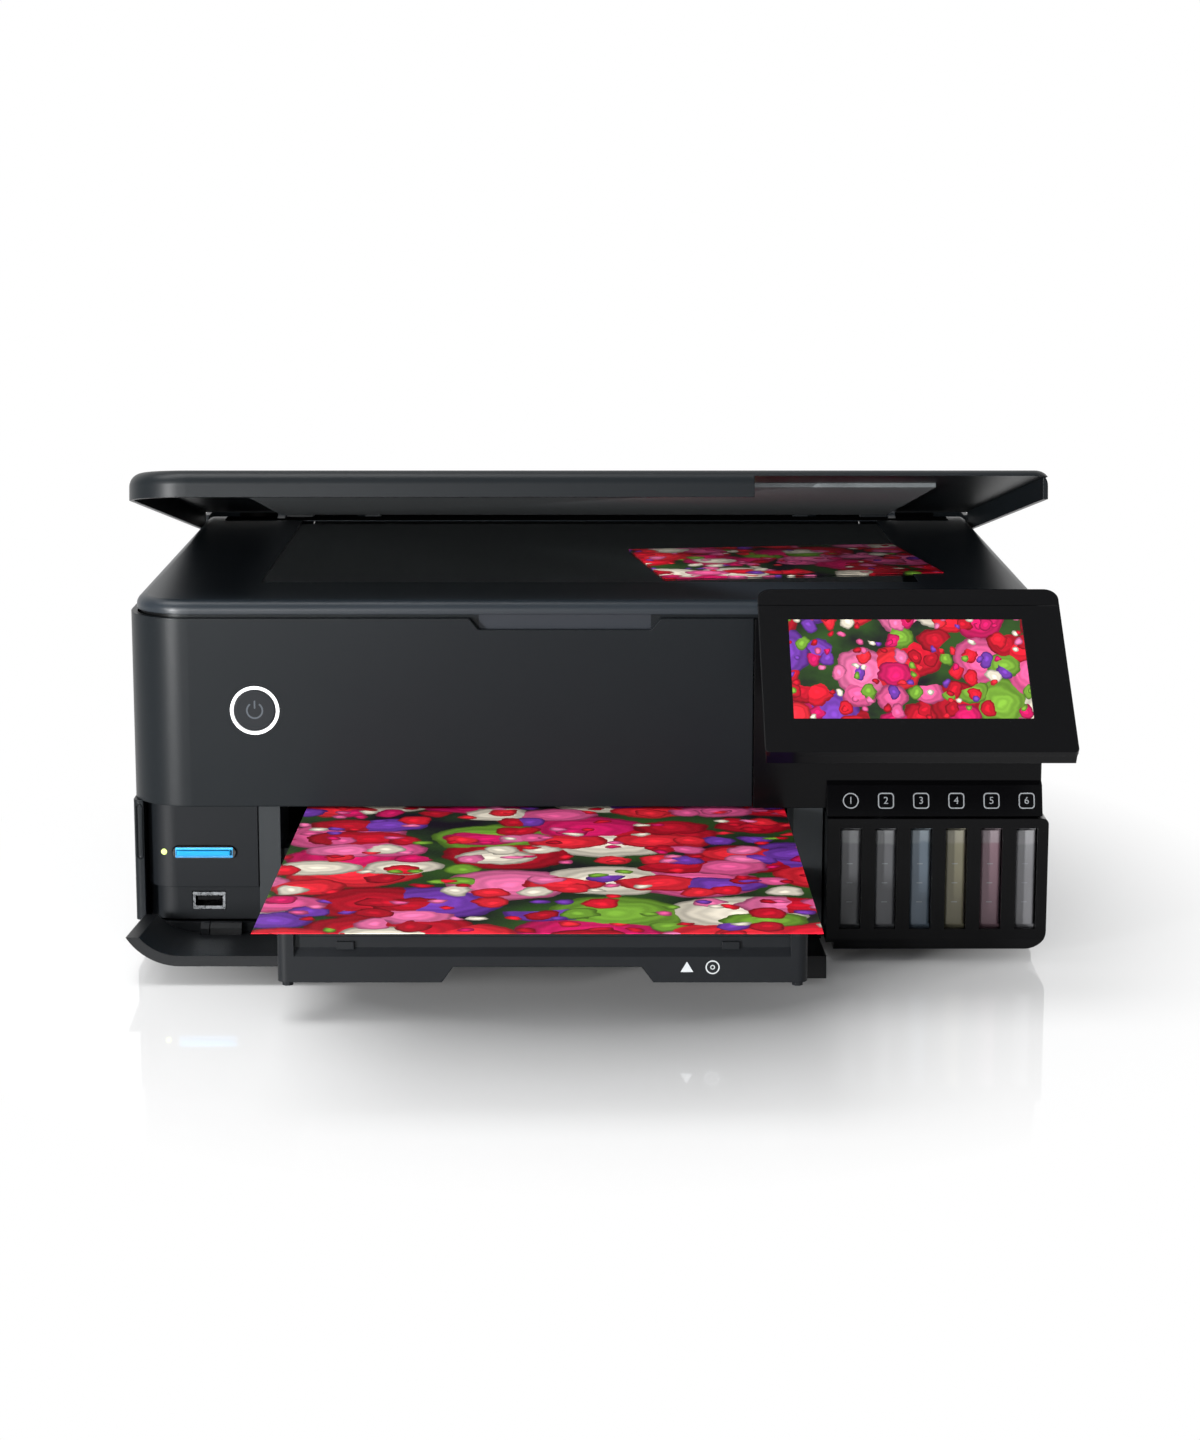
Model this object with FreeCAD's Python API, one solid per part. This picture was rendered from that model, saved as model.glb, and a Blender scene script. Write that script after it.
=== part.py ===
import FreeCAD, Part
import math
import os

from FreeCAD import Vector

os.makedirs("parts", exist_ok=True)

# An A4 six-tank photo printer with a flatbed scanner, in millimetres.
# Origin on the floor under the middle of the closed printer, front towards -Y, up is +Z.

# Overall body
width = 403.0               # body and lid, side to side
depth = 347.0               # ink tank front to rear wall
tank_proud = 12.5           # ink tank unit stands in front of the front panel by this
body_top_z = 150.5          # top edge of the front panel and the housing
wall = 2.5                  # housing wall
panel_wall = 2.8            # front panel wall
corner_r = 28.0             # left front corner in plan
rear_corner_r = 15.0        # rear corners in plan
gap = 0.3                   # between pieces that are set side by side
run = 0.05                  # radial clearance of a running fit

# Base
foot_h = 4.0
foot_r = 8.0
foot_inset_x = 34.0
foot_inset_y = 28.0
case_floor = 2.5
case_wall = 2.2
case_h = 7.5
case_inset = 2.0            # base stands inside the housing walls by this
case_setback = 12.0         # base front edge behind the front panel face
case_corner_r = 20.0
rib_h = 3.0
rib_t = 1.6
rib_pitch = 110.0

# Front panel and paper opening
opening_top_z = 67.0        # lower edge of the front panel
side_seam = 38.0            # front panel wraps this far back along the left side
panel_lip = 8.0             # lower edge is turned inwards by this
panel_lip_t = 2.4
finger_left = 149.5         # finger recess in the top edge, from the panel's ends
finger_right = 39.7
finger_h = 5.0
finger_slope = 5.0
finger_r = 1.5
button_inset = 56.5         # power button from the left side
button_z = 110.0
ring_r = 10.75
ring_w = 1.4
ring_depth = 5.0
button_proud = 0.4

# Card panel, left of the opening
card_w = 55.5
card_setback = 12.5
card_t = 2.5
card_corner_r = 14.0
card_edge = 5.0             # card panel inside the left side by this
card_step_z = 27.5         # lower field of the card panel is set back below this
card_step = 4.0
card_shelf_t = 1.6
slot_inset = 31.5           # card slot centre from the left side
slot_z = 43.5
slot_w = 28.0
slot_h = 5.3
sd_w = 24.0                 # memory card
sd_len = 32.0
sd_t = 2.1
sd_play = 0.25
sd_proud = 2.6
usb_inset = 32.75
usb_z = 20.4
usb_w = 14.4
usb_h = 7.8
usb_len = 16.0
usb_wall = 1.1
usb_proud = 0.4
led_inset = 13.5
led_r = 1.3

# Paper exit frame and output tray
guide_w = 10.0              # left wall of the opening
post_w = 13.0               # right post of the opening
frame_len = 39.0
post_setback = 6.5
beam_z = 68.0
beam_h = 6.0
runner_w = 9.4              # from the left wall of the opening to the tray
tray_side_gap = 0.9
tray_floor_z = 36.0
tray_floor_t = 2.5
tray_out = 107.5            # tray front stands in front of the front panel
tray_inside = 37.5          # tray rear end behind the front panel
tray_low_z = 17.2
tray_front_t = 4.5
tray_return = 30.0          # side returns behind the tray front
tray_return_t = 3.0
tray_corner_r = 4.0
tray_notch_left = 66.6      # cut-out of the tray front's lower edge, from the tray's sides
tray_notch_right = 62.5
tray_notch_h = 6.5
tray_notch_slope = 5.5
tray_bevel_z = 28.0
tray_bevel_h = 3.4
tray_recess = 2.6
tray_post = 7.0
tongue_w = 4.0
tongue_len = 30.0

# Front cover
cover_t = 4.5
cover_low_z = 6.0
cover_axis_back = 6.0       # hinge axis behind the front panel face
cover_axis_z = 9.5
cover_open = 85.0
cover_end_w = 11.0
cover_end_proud = 5.2
cover_wrap = 12.4           # left end follows the corner this far back
cover_swell_low = 20.0      # right end swells out between these heights
cover_swell_start = 36.0
cover_swell_full = 44.0
cover_rib_count = 5
cover_rib_low = 24.0
cover_rib_proud = 1.5
cover_hinge_left = 14.0     # hinge barrels from the card panel's and the post's edge
cover_hinge_right = 30.0

# Ink tank unit
tank_w = 96.5
tank_low_z = 5.0
tank_top_z = 64.3
tank_wall = 2.2
tank_step = 3.5             # step in the lower left corner of the bezel
tank_low_r = 9.0            # lower right and upper right corner of the bezel
tank_high_r = 2.5
tank_bevel_h = 5.0          # bevel under the front
tank_bevel_d = 3.0
tank_len = 29.5             # bezel, front to back
tank_count = 6
tank_pitch = 15.36
tank_last_inset = 9.35      # last tank centre from the right side
tank_body_w = 12.8
tank_back = 117.0           # tank rear end behind the front panel face
tank_shoulder = 28.0
tank_tall_z = 92.0
window_w = 9.3
window_low_z = 14.8
window_top_z = 60.0
tube_w = 8.8
tube_low_z = 15.7
tube_top_z = 58.1
tube_setback = 4.5
cap_back = 62.0             # filler caps behind the front panel face
cap_r = 6.0
cap_h = 10.0
tank_cover_z = 112.0
tank_cover_t = 2.5
tank_cover_back = 22.0      # film hinge behind the tanks
tank_cover_film = 0.6
tank_cover_lap = 4.0
tank_grip_left = 34.0       # finger grip on the front edge
tank_grip_w = 26.0
tank_grip_slope = 4.0
tank_grip_reach = 5.0

# Control panel
panel_w = 128.5
panel_len = 93.6            # along the face
panel_t = 7.5
fascia_t = 2.5
panel_back_inset = 0.6      # rear shell inside the fascia
panel_hollow_wall = 4.0
panel_hollow_drop = 26.0
panel_cheek_low = 2.0       # right cheek, from the panel's lower edge
panel_cheek_toe = 5.0
panel_cheek_heel = 40.0
panel_cheek_high = 46.0
panel_cheek_proud = 4.5
panel_bar_count = 3
panel_bar_pitch = 16.0
panel_axis_front = 9.5      # hinge axis in front of the front panel face
panel_axis_z = 160.0
panel_face_out = 9.0        # face in front of the hinge axis
panel_top_drop = 2.0        # top edge below the hinge axis
panel_tilt = 53.3           # rest angle from hanging
panel_corner_r = 6.0
panel_seam = 9.5            # hinge strip above the screen fascia
screen_w = 99.0
screen_h = 57.0
screen_drop = 18.0          # screen top below the panel top
screen_inset = 12.6         # screen left edge from the panel left edge
screen_t = 1.8
trim_setback = 3.0          # upper trim in front of the front panel face
trim_t = 2.4
trim_side_inset = 2.5
label_low_front = 10.5      # label strip lower edge in front of the panel face
label_top_front = 6.0
label_h = 13.0

# Scanner unit and lid
bed_low_z = 152.0
bed_top_z = 158.0
bed_edge_r = 4.5
bed_right_r = 8.0
glass_w = 297.0             # A4 original
glass_h = 216.0
glass_t = 3.0
glass_rim = 4.0
glass_front = 58.5          # glass front edge behind the front panel face
glass_shift = 1.5           # glass centre to the right of the middle
photo_w = 131.0             # print lying on the glass
photo_h = 98.0
photo_turn = 8.6            # degrees
photo_inset_x = 57.5        # its centre from the glass's right and front edges
photo_inset_y = 67.0
scan_tray_z = 131.0
scan_tray_wall = 2.0
scan_tray_inset = 4.2
lid_low_z = 151.0
lid_t = 12.0
lid_wall = 2.2
lid_skin = 2.7
lid_edge_r = 6.0
lid_right_r = 8.0
lid_notch = 14.0            # front skirt cut back over the control panel
lid_axis_back = 291.0       # lid hinge behind the front panel face
lid_axis_z = 158.5
lid_open = 10.3
mat_t = 1.9
mat_side = 42.0
mat_right = 45.0
mat_front = 50.0
mat_rear = 10.0
scan_axis_back = 299.0      # scanner unit hinge behind the front panel face
scan_axis_z = 146.0
scan_bar_w = 22.0
scan_rod_r = 4.0
scan_bar_z = 139.5
scan_bar_play = 2.0         # bar inside the ends of the glass
scan_hub = 10.0             # deeper middle around the rod, half its length
scan_hub_slope = 4.0
scan_hub_drop = 3.0
scan_window_side = 6.0      # lens window, from the bar's sides and ends
scan_window_end = 4.0

# Hinge knuckles shared by lid, scanner, panel and covers
ear_w = 4.0
knuckle_w = 14.0
knuckle_r = 3.6
pin_r = 2.0
hinge_inset = 51.5          # lid and scanner hinges from the sides

# Paper path
sheet_play = 3.55           # sheet to tray edge, leaves A4 width
sheet_len = 297.0
sheet_t = 0.3
sheet_front = 233.5         # sheet front edge in front of the panel face
sheet_front_z = 71.0
sheet_rise = 1.29           # degrees, up to the front
feed_back = 105.5
feed_r = 5.0
exit_back = 56.0
exit_r = 4.0
roller_count = 3
star_gap = 1.8              # holder bar above the sheet
star_bar_w = 6.0
star_bar_h = 4.5
star_r = 3.0
star_w = 1.6
star_rise = 1.6
platen_back = 66.0
platen_len = 32.0
platen_z = 56.0
platen_t = 5.5
platen_side = 4.0           # left of the sheet
trough_side = 6.0
trough_end = 8.0
trough_floor = 2.0
platen_rib_count = 8
platen_rib_t = 1.6
platen_rib_proud = 1.1
seal_left = 8.0             # rubber cap of the parking station, from the block's sides and ends
seal_right = 12.0
seal_end = 4.0
seal_h = 3.0
seal_lip = 2.0
wiper_right = 5.6
wiper_t = 1.4
wiper_end = 5.0
wiper_proud = 0.6

# Carriage and its drive
rail_back = 128.0
rail_t = 1.5
rail_top_z = 108.0
rail_low_z = 70.0
rail_flange = 20.0
rail_cheek_z = 76.0         # height of the side plates at their front
rail_cheek_flat = 8.0
shaft_hole = 6.0
plate_left_inset = 11.0     # rail side plates from the left side and from the tank unit
plate_right_inset = 4.3
carriage_w = 68.0
carriage_inset = 32.5       # parked carriage centre from the tray's right side
carriage_front = 62.0
carriage_back = 116.0
carriage_low_z = 72.0
carriage_top_z = 103.5
carriage_slope = 12.0       # sloped front, its run and its foot
carriage_brow = 16.0
carriage_slot_w = 7.2       # one slot over each ink channel
carriage_slot_front = 24.0
carriage_slot_back = 8.0
carriage_slot_depth = 2.0
carriage_slider_inset = 4.0
carriage_slider_low = 3.0
belt_clip_w = 20.0
belt_clip_t = 2.0
head_drop = 6.4
belt_z = 98.0
belt_back = 119.0
belt_w = 6.0
belt_t = 1.2
pulley_r = 5.6
pulley_left_inset = 12.5    # pulley axles from the side plates
tooth_count = 10
tooth_h = 0.7
motor_shaft_r = 1.5
pulley_right_inset = 10.7
motor_r = 13.0
motor_len = 30.0

# Cassettes and inner parts
cassette_left_inset = 5.6   # paper cassettes from the tray's sides
cassette_right_inset = 4.5
cassette_front = 20.0
cassette_len = 262.0
cassette_h = 12.0
cassette_wall = 2.0
cassette_grip_w = 56.0      # finger cut-out in the front wall
cassette_grip_slope = 4.0
cassette_grip_h = 5.0
wing_near = 12.0            # guide wings of the upper cassette, from its ends
wing_far = 40.0
small_inset = 42.0          # upper cassette from the lower one's sides
small_len = 176.0
small_h = 11.0
supply_gap = 70.0           # power supply behind the tanks
supply_side = 16.0          # from the left side of the tank unit
supply_clear = 4.0
supply_h = 58.0
supply_vent_count = 6
supply_vent_first = 14.0
supply_vent_pitch = 12.0
supply_vent_cut_w = 5.0
supply_vent_inset = 10.0
supply_vent_depth = 3.0
waste_side = 9.0            # waste ink box
waste_clear = 4.0
waste_front = 40.0
waste_rear = 8.0
waste_h = 16.0
waste_rim = 5.0
waste_depth = 3.0
lane_run = 18.0             # ink tube ribbon
lane_z = 60.0
lane_left = 2.6
lane_right = 0.6
lane_half = 1.6
valve_len = 14.0
valve_left = 8.0
valve_right = 4.0
valve_low = 8.0
valve_high = 10.0
deck_z = 112.0
deck_t = 2.5

board_stand = 3.0
board_t = 1.6
# Parts on the board: along it, up it, length, height, thickness
board_chips = ((30.0, 20.0, 22.0, 22.0, 2.0), (66.0, 44.0, 14.0, 18.0, 1.6),
               (92.0, 22.0, 12.0, 26.0, 9.0),
               (112.0, 50.0, 20.0, 8.0, 6.0), (20.0, 56.0, 26.0, 6.0, 5.0), (60.0, 12.0, 20.0, 8.0, 4.0))
board_front = 150.0
board_len = 140.0
board_low_z = 30.0
board_h = 76.0

# Rear
rear_deck_t = 2.5
rear_deck_len = 29.0
rear_rim_h = 7.0            # rear wall stands above the deck, behind the lid hinge
rear_rim_gap = 10.0         # its sides start this far behind the hinge
feed_cover_w = 236.0
feed_cover_len = 21.0
feed_cover_t = 2.4
feed_axis_inset = 9.0
support_w = 190.0
support_h = 72.0
support_t = 2.2
support_chamfer = 4.0
support_slot_count = 5
support_slot_w = 8.0
support_slot_low = 10.0     # slots, from the lower and upper edge
support_slot_high = 12.0
jam_w = 220.0
jam_low_z = 30.0
jam_h = 70.0
jam_pocket_inset = 24.0     # finger pockets, from the cover's ends
jam_pocket_w = 24.0
jam_pocket_wall = 2.0
jam_pocket_depth = 12.0
jam_pocket_low = 14.0
jam_pocket_h = 30.0
inlet_inset = 41.5          # mains inlet centre from the right side
inlet_z = 36.0
inlet_w = 22.0
inlet_h = 14.0
inlet_len = 18.0
inlet_wall = 2.2
inlet_corner = 6.0          # cut corners of the inlet's room, from its sides
inlet_floor = 4.0
inlet_pin_r = 1.2
inlet_pin_x = 4.3
inlet_pin_sunk = 3.0
jack_inset = 14.0           # first rear jack centre beside the jam cover
jack_pitch = 26.0
jack_z = 40.0
lan_w = 15.6
lan_h = 13.0
usb_b_w = 12.2
usb_b_h = 11.0
jack_len = 18.0
jack_wall = 1.6
jack_floor = 3.0
jack_sunk = 0.2
jack_tongue_w = 5.2
jack_tongue_h = 2.8
jack_tongue_sunk = 4.0
vent_count = 10
vent_low_z = 56.0
vent_pitch = 6.0
vent_w = 46.0

# Places worked out from the sizes above
left = -width / 2
right = width / 2
rear_y = depth / 2
tank_face_y = -depth / 2
panel_face_y = tank_face_y + tank_proud
case_low_z = foot_h
case_top_z = foot_h + case_h
rib_top_z = foot_h + case_floor + rib_h
card_right = left + card_w
guide_right = card_right + guide_w
tank_left = right - tank_w
post_right = tank_left - 2 * gap
post_left = post_right - post_w
tray_right = post_left - tray_side_gap
tray_left = guide_right + runner_w
tray_w = tray_right - tray_left
tray_mid = (tray_left + tray_right) / 2
sheet_w = tray_w - 2 * sheet_play
panel_left = right - panel_w
front_end_x = panel_left - gap
tank_first_x = right - tank_last_inset - (tank_count - 1) * tank_pitch
lid_top_z = lid_low_z + lid_t
lid_inner_z = lid_top_z - lid_skin
bed_half = width / 2 - lid_wall - gap
glass_x = glass_shift
sheet_slope = math.radians(sheet_rise)
hinge_x = width / 2 - hinge_inset
plate_left = left + plate_left_inset
plate_right = tank_left - plate_right_inset
pulley_left = plate_left + pulley_left_inset
pulley_right = plate_right - pulley_right_inset
carriage_home = tray_right - carriage_inset
cassette_left = tray_left + cassette_left_inset
cassette_right = tray_right - cassette_right_inset
inlet_x = right - inlet_inset
jack_x = -jam_w / 2 - jack_inset


def behind(distance):
    return panel_face_y + distance


def sheet_z(distance):
    return sheet_front_z - (distance + sheet_front) * math.tan(sheet_slope)


def save(name, shape):
    solids = shape.Solids
    kept = solids[0] if len(solids) == 1 else Part.makeCompound(solids)
    kept.exportStep("parts/" + name + ".step")
    print(name, len(solids), round(kept.Volume, 1), kept.isValid())


def block(x0, x1, y0, y1, z0, z1):
    return Part.makeBox(x1 - x0, y1 - y0, z1 - z0, Vector(x0, y0, z0))


def rod_x(x0, x1, y, z, radius):
    return Part.makeCylinder(radius, x1 - x0, Vector(x0, y, z), Vector(1, 0, 0))


def rod_y(x, y0, y1, z, radius):
    return Part.makeCylinder(radius, y1 - y0, Vector(x, y0, z), Vector(0, 1, 0))


def outline(corners, place):
    # A closed wire through corners given as (u, v) or (u, v, radius)
    count = len(corners)
    spans = []
    for i, corner in enumerate(corners):
        here = Vector(corner[0], corner[1], 0)
        if len(corner) < 3 or corner[2] <= 0:
            spans.append((here, None, here))
            continue
        last = corners[i - 1]
        next_one = corners[(i + 1) % count]
        back = (Vector(last[0], last[1], 0) - here).normalize()
        ahead = (Vector(next_one[0], next_one[1], 0) - here).normalize()
        half = back.getAngle(ahead) / 2
        reach = corner[2] / math.tan(half)
        inward = (back + ahead).normalize()
        middle = here + inward * (corner[2] / math.sin(half) - corner[2])
        spans.append((here + back * reach, middle, here + ahead * reach))
    edges = []
    for i in range(count):
        start, middle, stop = spans[i]
        if middle is not None:
            edges.append(Part.Arc(place(start), place(middle), place(stop)).toShape())
        ahead = spans[(i + 1) % count][0]
        if (ahead - stop).Length > 1e-6:
            edges.append(Part.makeLine(place(stop), place(ahead)))
    return Part.Wire(edges)


def plan(corners, z0, z1):
    face = Part.Face(outline(corners, lambda p: Vector(p.x, p.y, z0)))
    return face.extrude(Vector(0, 0, z1 - z0))


def front_view(corners, y0, y1):
    face = Part.Face(outline(corners, lambda p: Vector(p.x, y0, p.y)))
    return face.extrude(Vector(0, y1 - y0, 0))


def side_view(corners, x0, x1):
    face = Part.Face(outline(corners, lambda p: Vector(x0, p.x, p.y)))
    return face.extrude(Vector(x1 - x0, 0, 0))


def turned(shape, y, z, degrees):
    # Turn about a line along X, front edge upwards for positive degrees
    copy = shape.copy()
    copy.rotate(Vector(0, y, z), Vector(-1, 0, 0), degrees)
    return copy


def fillet_where(shape, radius, test):
    edges = [edge for edge in shape.Edges if test(edge)]
    return shape.makeFillet(radius, edges)


def octagon(y, z, flat):
    cut = flat * math.tan(math.pi / 8)
    return [(y - flat, z - cut), (y - cut, z - flat), (y + cut, z - flat), (y + flat, z - cut),
            (y + flat, z + cut), (y + cut, z + flat), (y - cut, z + flat), (y - flat, z + cut)]


def ear_range(x, side):
    # The cheek of a hinge stands on the outer side of its barrel
    near = x + side * (knuckle_w / 2 + gap)
    far = near + side * ear_w
    return min(near, far), max(near, far)


def ear(x, side, y, z):
    x0, x1 = ear_range(x, side)
    return side_view(octagon(y, z, knuckle_r), x0, x1)


def ear_bore(x, side, y, z):
    x0, x1 = ear_range(x, side)
    return rod_x(x0 - 1, x1 + 1, y, z, pin_r + run)


def ear_arm(x, side, corners):
    x0, x1 = ear_range(x, side)
    return side_view(corners, x0, x1)


def knuckle(x, side, y, z):
    # Moving barrel with a stub pin towards its cheek
    barrel = side_view(octagon(y, z, knuckle_r), x - knuckle_w / 2, x + knuckle_w / 2)
    x0, x1 = ear_range(x, side)
    pin = rod_x(x, x1 - gap, y, z, pin_r) if side > 0 else rod_x(x0 + gap, x, y, z, pin_r)
    return barrel.fuse(pin)


def hinge_room(x, side, y, z):
    # Space that the cheek needs inside the moving piece at every angle
    x0, x1 = ear_range(x, side)
    half = knuckle_r + 3 * gap
    return block(x0 - gap, x1 + gap, y - half, y + half, z - half, z + half)


# Base

def bottom_case():
    x0 = left + case_inset
    x1 = right - case_inset
    y0 = behind(case_setback)
    y1 = rear_y - case_inset

    def shell(inset):
        r = case_corner_r - inset
        rear_r = rear_corner_r - case_inset - inset
        sill_x = tank_left - gap
        return [(x0 + inset, y0 + inset, r), (sill_x + inset, y0 + inset),
                (sill_x + inset, tank_rear_y() + inset),
                (x1 - inset, tank_rear_y() + inset), (x1 - inset, y1 - inset, rear_r),
                (x0 + inset, y1 - inset, rear_r)]

    floor_z = case_low_z + case_floor
    case = plan(shell(0), case_low_z, case_top_z)
    case = case.cut(plan(shell(case_wall), floor_z, case_top_z + 1))
    ribs = []
    span_x = x1 - x0
    count_x = int(span_x // rib_pitch)
    for i in range(1, count_x + 1):
        x = x0 + span_x * i / (count_x + 1)
        ribs.append(block(x, x + rib_t, y0 + case_wall / 2, y1 - case_wall / 2, floor_z, rib_top_z))
    span_y = y1 - y0
    count_y = int(span_y // rib_pitch)
    for i in range(1, count_y + 1):
        y = y0 + span_y * (i + 0.2) / (count_y + 1)
        ribs.append(block(x0 + case_wall / 2, x1 - case_wall / 2, y, y + rib_t, floor_z, rib_top_z))
    axis_y = behind(cover_axis_back)
    low = cover_axis_z - knuckle_r
    high = cover_axis_z + knuckle_r * 0.5
    arm = [(axis_y, low), (y0 + case_wall / 2, low), (y0 + case_wall / 2, high), (axis_y, high)]
    for x, side in cover_hinges():
        ribs += [ear(x, side, axis_y, cover_axis_z), ear_arm(x, side, arm)]
    case = case.fuse(ribs)
    cuts = [ear_bore(x, side, axis_y, cover_axis_z) for x, side in cover_hinges()]
    cuts.append(block(tank_left, x1 - case_wall, tank_rear_y() - 1, tank_rear_y() + case_wall + 1,
                      rib_top_z,
                      case_top_z + 1))
    return case.cut(cuts).removeSplitter()


def tank_rear_y():
    return tank_face_y + tank_len + gap


def foot_places():
    xs = (left + foot_inset_x, right - foot_inset_x)
    ys = (behind(case_setback) + foot_inset_y, rear_y - foot_inset_y)
    return [(x, y) for x in xs for y in ys] + [(0, 0)]


def feet():
    # Rubber pads with cut corners, one at each corner and one under the middle
    pads = []
    for x, y in foot_places():
        pads.append(plan(octagon(x, y, foot_r), 0, foot_h))
    return Part.makeCompound(pads)


def main_housing():
    def walls(inset, front):
        r = rear_corner_r - inset
        return [(left + inset, front), (right - inset, front), (right - inset, rear_y - inset, r),
                (left + inset, rear_y - inset, r)]

    low = case_top_z
    body = plan(walls(0, tank_rear_y()), low, body_top_z)
    body = body.cut(plan(walls(wall, behind(0)), low - 1, body_top_z + 1))
    body = body.cut(block(left - 1, 0, behind(0), behind(side_seam), low - 1, body_top_z + 1))
    deck_front = rear_y - wall - rear_deck_len
    deck = block(left + wall / 2, right - wall / 2, deck_front, rear_y - wall / 2,
                 body_top_z - rear_deck_t, body_top_z)
    rim_front = behind(lid_axis_back + rear_rim_gap)
    rim = plan(walls(0, rim_front), body_top_z - rear_deck_t / 2, body_top_z + rear_rim_h)
    rim = rim.cut(plan(walls(wall, rim_front - 1), body_top_z - rear_deck_t, body_top_z + rear_rim_h + 1))
    bosses = [rim]
    for y in board_boss_y():
        for z in board_boss_z():
            bosses.append(block(left + wall / 2, left + wall + board_stand, y - 3, y + 3, z - 3, z + 3))
    axis_y = rear_y - feed_axis_inset
    axis_z = feed_axis_z()
    for x0 in feed_ear_x():
        bosses.append(side_view(octagon(axis_y, axis_z, knuckle_r), x0, x0 + ear_w))
        bosses.append(side_view([(axis_y - knuckle_r, body_top_z - rear_deck_t / 2), (axis_y - 1, axis_z),
                                 (axis_y + 1, axis_z), (axis_y + knuckle_r,
                                                        body_top_z - rear_deck_t / 2)],
                                x0, x0 + ear_w))
    body = body.fuse([deck] + bosses)
    cuts = [rod_x(x0 - 1, x0 + ear_w + 1, axis_y, axis_z, pin_r + run) for x0 in feed_ear_x()]
    cuts.append(block(-sheet_w / 2 - 4, sheet_w / 2 + 4, feed_slot_y() - 4, feed_slot_y() + 4,
                      body_top_z - rear_deck_t - 1, body_top_z + 1))
    cuts.append(block(-support_w / 2 - gap, support_w / 2 + gap, support_y() - gap,
                      support_y() + support_t + gap,
                      body_top_z - rear_deck_t - 1, body_top_z + 1))
    cuts.append(block(-jam_w / 2 - gap, jam_w / 2 + gap, rear_y - wall - 1, rear_y + 1, jam_low_z - gap,
                      jam_low_z + jam_h + gap))
    cuts.append(block(inlet_x - inlet_w / 2 - gap, inlet_x + inlet_w / 2 + gap, rear_y - wall - 1,
                      rear_y + 1,
                      inlet_z - inlet_h / 2 - gap, inlet_z + inlet_h / 2 + gap))
    for x, z, w, h in jack_places():
        cuts.append(block(x - w / 2 - gap, x + w / 2 + gap, rear_y - wall - 1, rear_y + 1,
                          z - h / 2 - gap, z + h / 2 + gap))
    for i in range(vent_count):
        z = vent_low_z + vent_pitch * i
        cuts.append(block(inlet_x - vent_w / 2, inlet_x + vent_w / 2, rear_y - wall - 1, rear_y + 1, z,
                          z + vent_pitch / 2))
    return body.cut(cuts).removeSplitter()


def front_panel_path(inset, reach):
    # Plan outline of a strip that follows the front and the rounded left corner
    outer_r = corner_r - inset
    inner_r = outer_r - reach
    return [(front_end_x, behind(inset)), (left + inset, behind(inset), outer_r),
            (left + inset, behind(side_seam)),
            (left + inset + reach, behind(side_seam)), (left + inset + reach, behind(inset + reach),
                                                        inner_r),
            (front_end_x, behind(inset + reach))]


def front_panel():
    panel = plan(front_panel_path(0, panel_wall), opening_top_z, body_top_z)
    lip = plan(front_panel_path(0, panel_lip), opening_top_z, opening_top_z + panel_lip_t)
    panel = panel.fuse(lip)
    low = body_top_z - finger_h
    x0 = left + finger_left
    x1 = front_end_x - finger_right
    recess = front_view([(x0, body_top_z + 1), (x0 + finger_slope, low, finger_r),
                         (x1 - finger_slope, low, finger_r), (x1, body_top_z + 1)],
                        behind(-1), behind(panel_wall + 1))
    bore = rod_y(left + button_inset, behind(-1), behind(panel_wall + 1), button_z, ring_r + run)
    return panel.cut([recess, bore]).removeSplitter()


def power_ring():
    x = left + button_inset
    ring = rod_y(x, behind(-gap), behind(ring_depth), button_z, ring_r)
    return ring.cut(rod_y(x, behind(-1), behind(ring_depth + 1), button_z, ring_r - ring_w))


def power_button():
    x = left + button_inset
    cap = rod_y(x, behind(-button_proud), behind(ring_depth + gap), button_z, ring_r - ring_w - gap)
    rim = [e for e in cap.Edges if e.BoundBox.YMax < behind(0)]
    return cap.makeChamfer(button_proud * 0.7, rim)


def card_panel():
    low = case_top_z + gap
    high = opening_top_z - gap
    x0 = left + card_edge
    y0 = behind(card_setback)
    back = behind(side_seam) - gap

    def field(face_y):
        return [(card_right, face_y), (x0, face_y, card_corner_r), (x0, back), (x0 + card_t, back),
                (x0 + card_t, face_y + card_t, card_corner_r - card_t), (card_right, face_y + card_t)]

    panel = plan(field(y0), card_step_z, high)
    lower = plan(field(y0 + card_step), low, card_step_z + card_shelf_t)
    shelf = block(x0 + card_corner_r, card_right, y0 + card_t / 2, y0 + card_step + card_t, card_step_z,
                  card_step_z + card_shelf_t)
    x = left + slot_inset
    sleeve = block(x - sd_w / 2 - 2.4, x + sd_w / 2 + 2.4, y0 + card_t / 2, sleeve_end(),
                   slot_z - slot_h / 2 - 1, slot_z + slot_h / 2 + 1)
    panel = panel.fuse([lower, shelf, sleeve])
    pill = slot_pill(gap, y0 - 1, y0 + card_t)
    card_room = block(x - sd_w / 2 - sd_play, x + sd_w / 2 + sd_play, y0, sleeve_end() - 2,
                      slot_z - sd_t / 2 - sd_play, slot_z + sd_t / 2 + sd_play)
    ux = left + usb_inset
    port = block(ux - usb_w / 2 - gap, ux + usb_w / 2 + gap, y0 - 1, y0 + card_step + card_t + 1,
                 usb_z - usb_h / 2 - gap, usb_z + usb_h / 2 + gap)
    lamp = rod_y(left + led_inset, y0 - 1, y0 + 3 * card_t, slot_z, led_r + run)
    return panel.cut([pill, card_room, port, lamp]).removeSplitter()


def sleeve_end():
    return behind(card_setback) - sd_proud + sd_len + 4.0


def slot_pill(clear, y0, y1):
    x = left + slot_inset
    w = slot_w / 2 + clear
    h = slot_h / 2 + clear
    r = h - 0.05
    return front_view([(x - w, slot_z - h, r), (x + w, slot_z - h, r), (x + w, slot_z + h, r),
                       (x - w, slot_z + h, r)], y0, y1)


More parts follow.
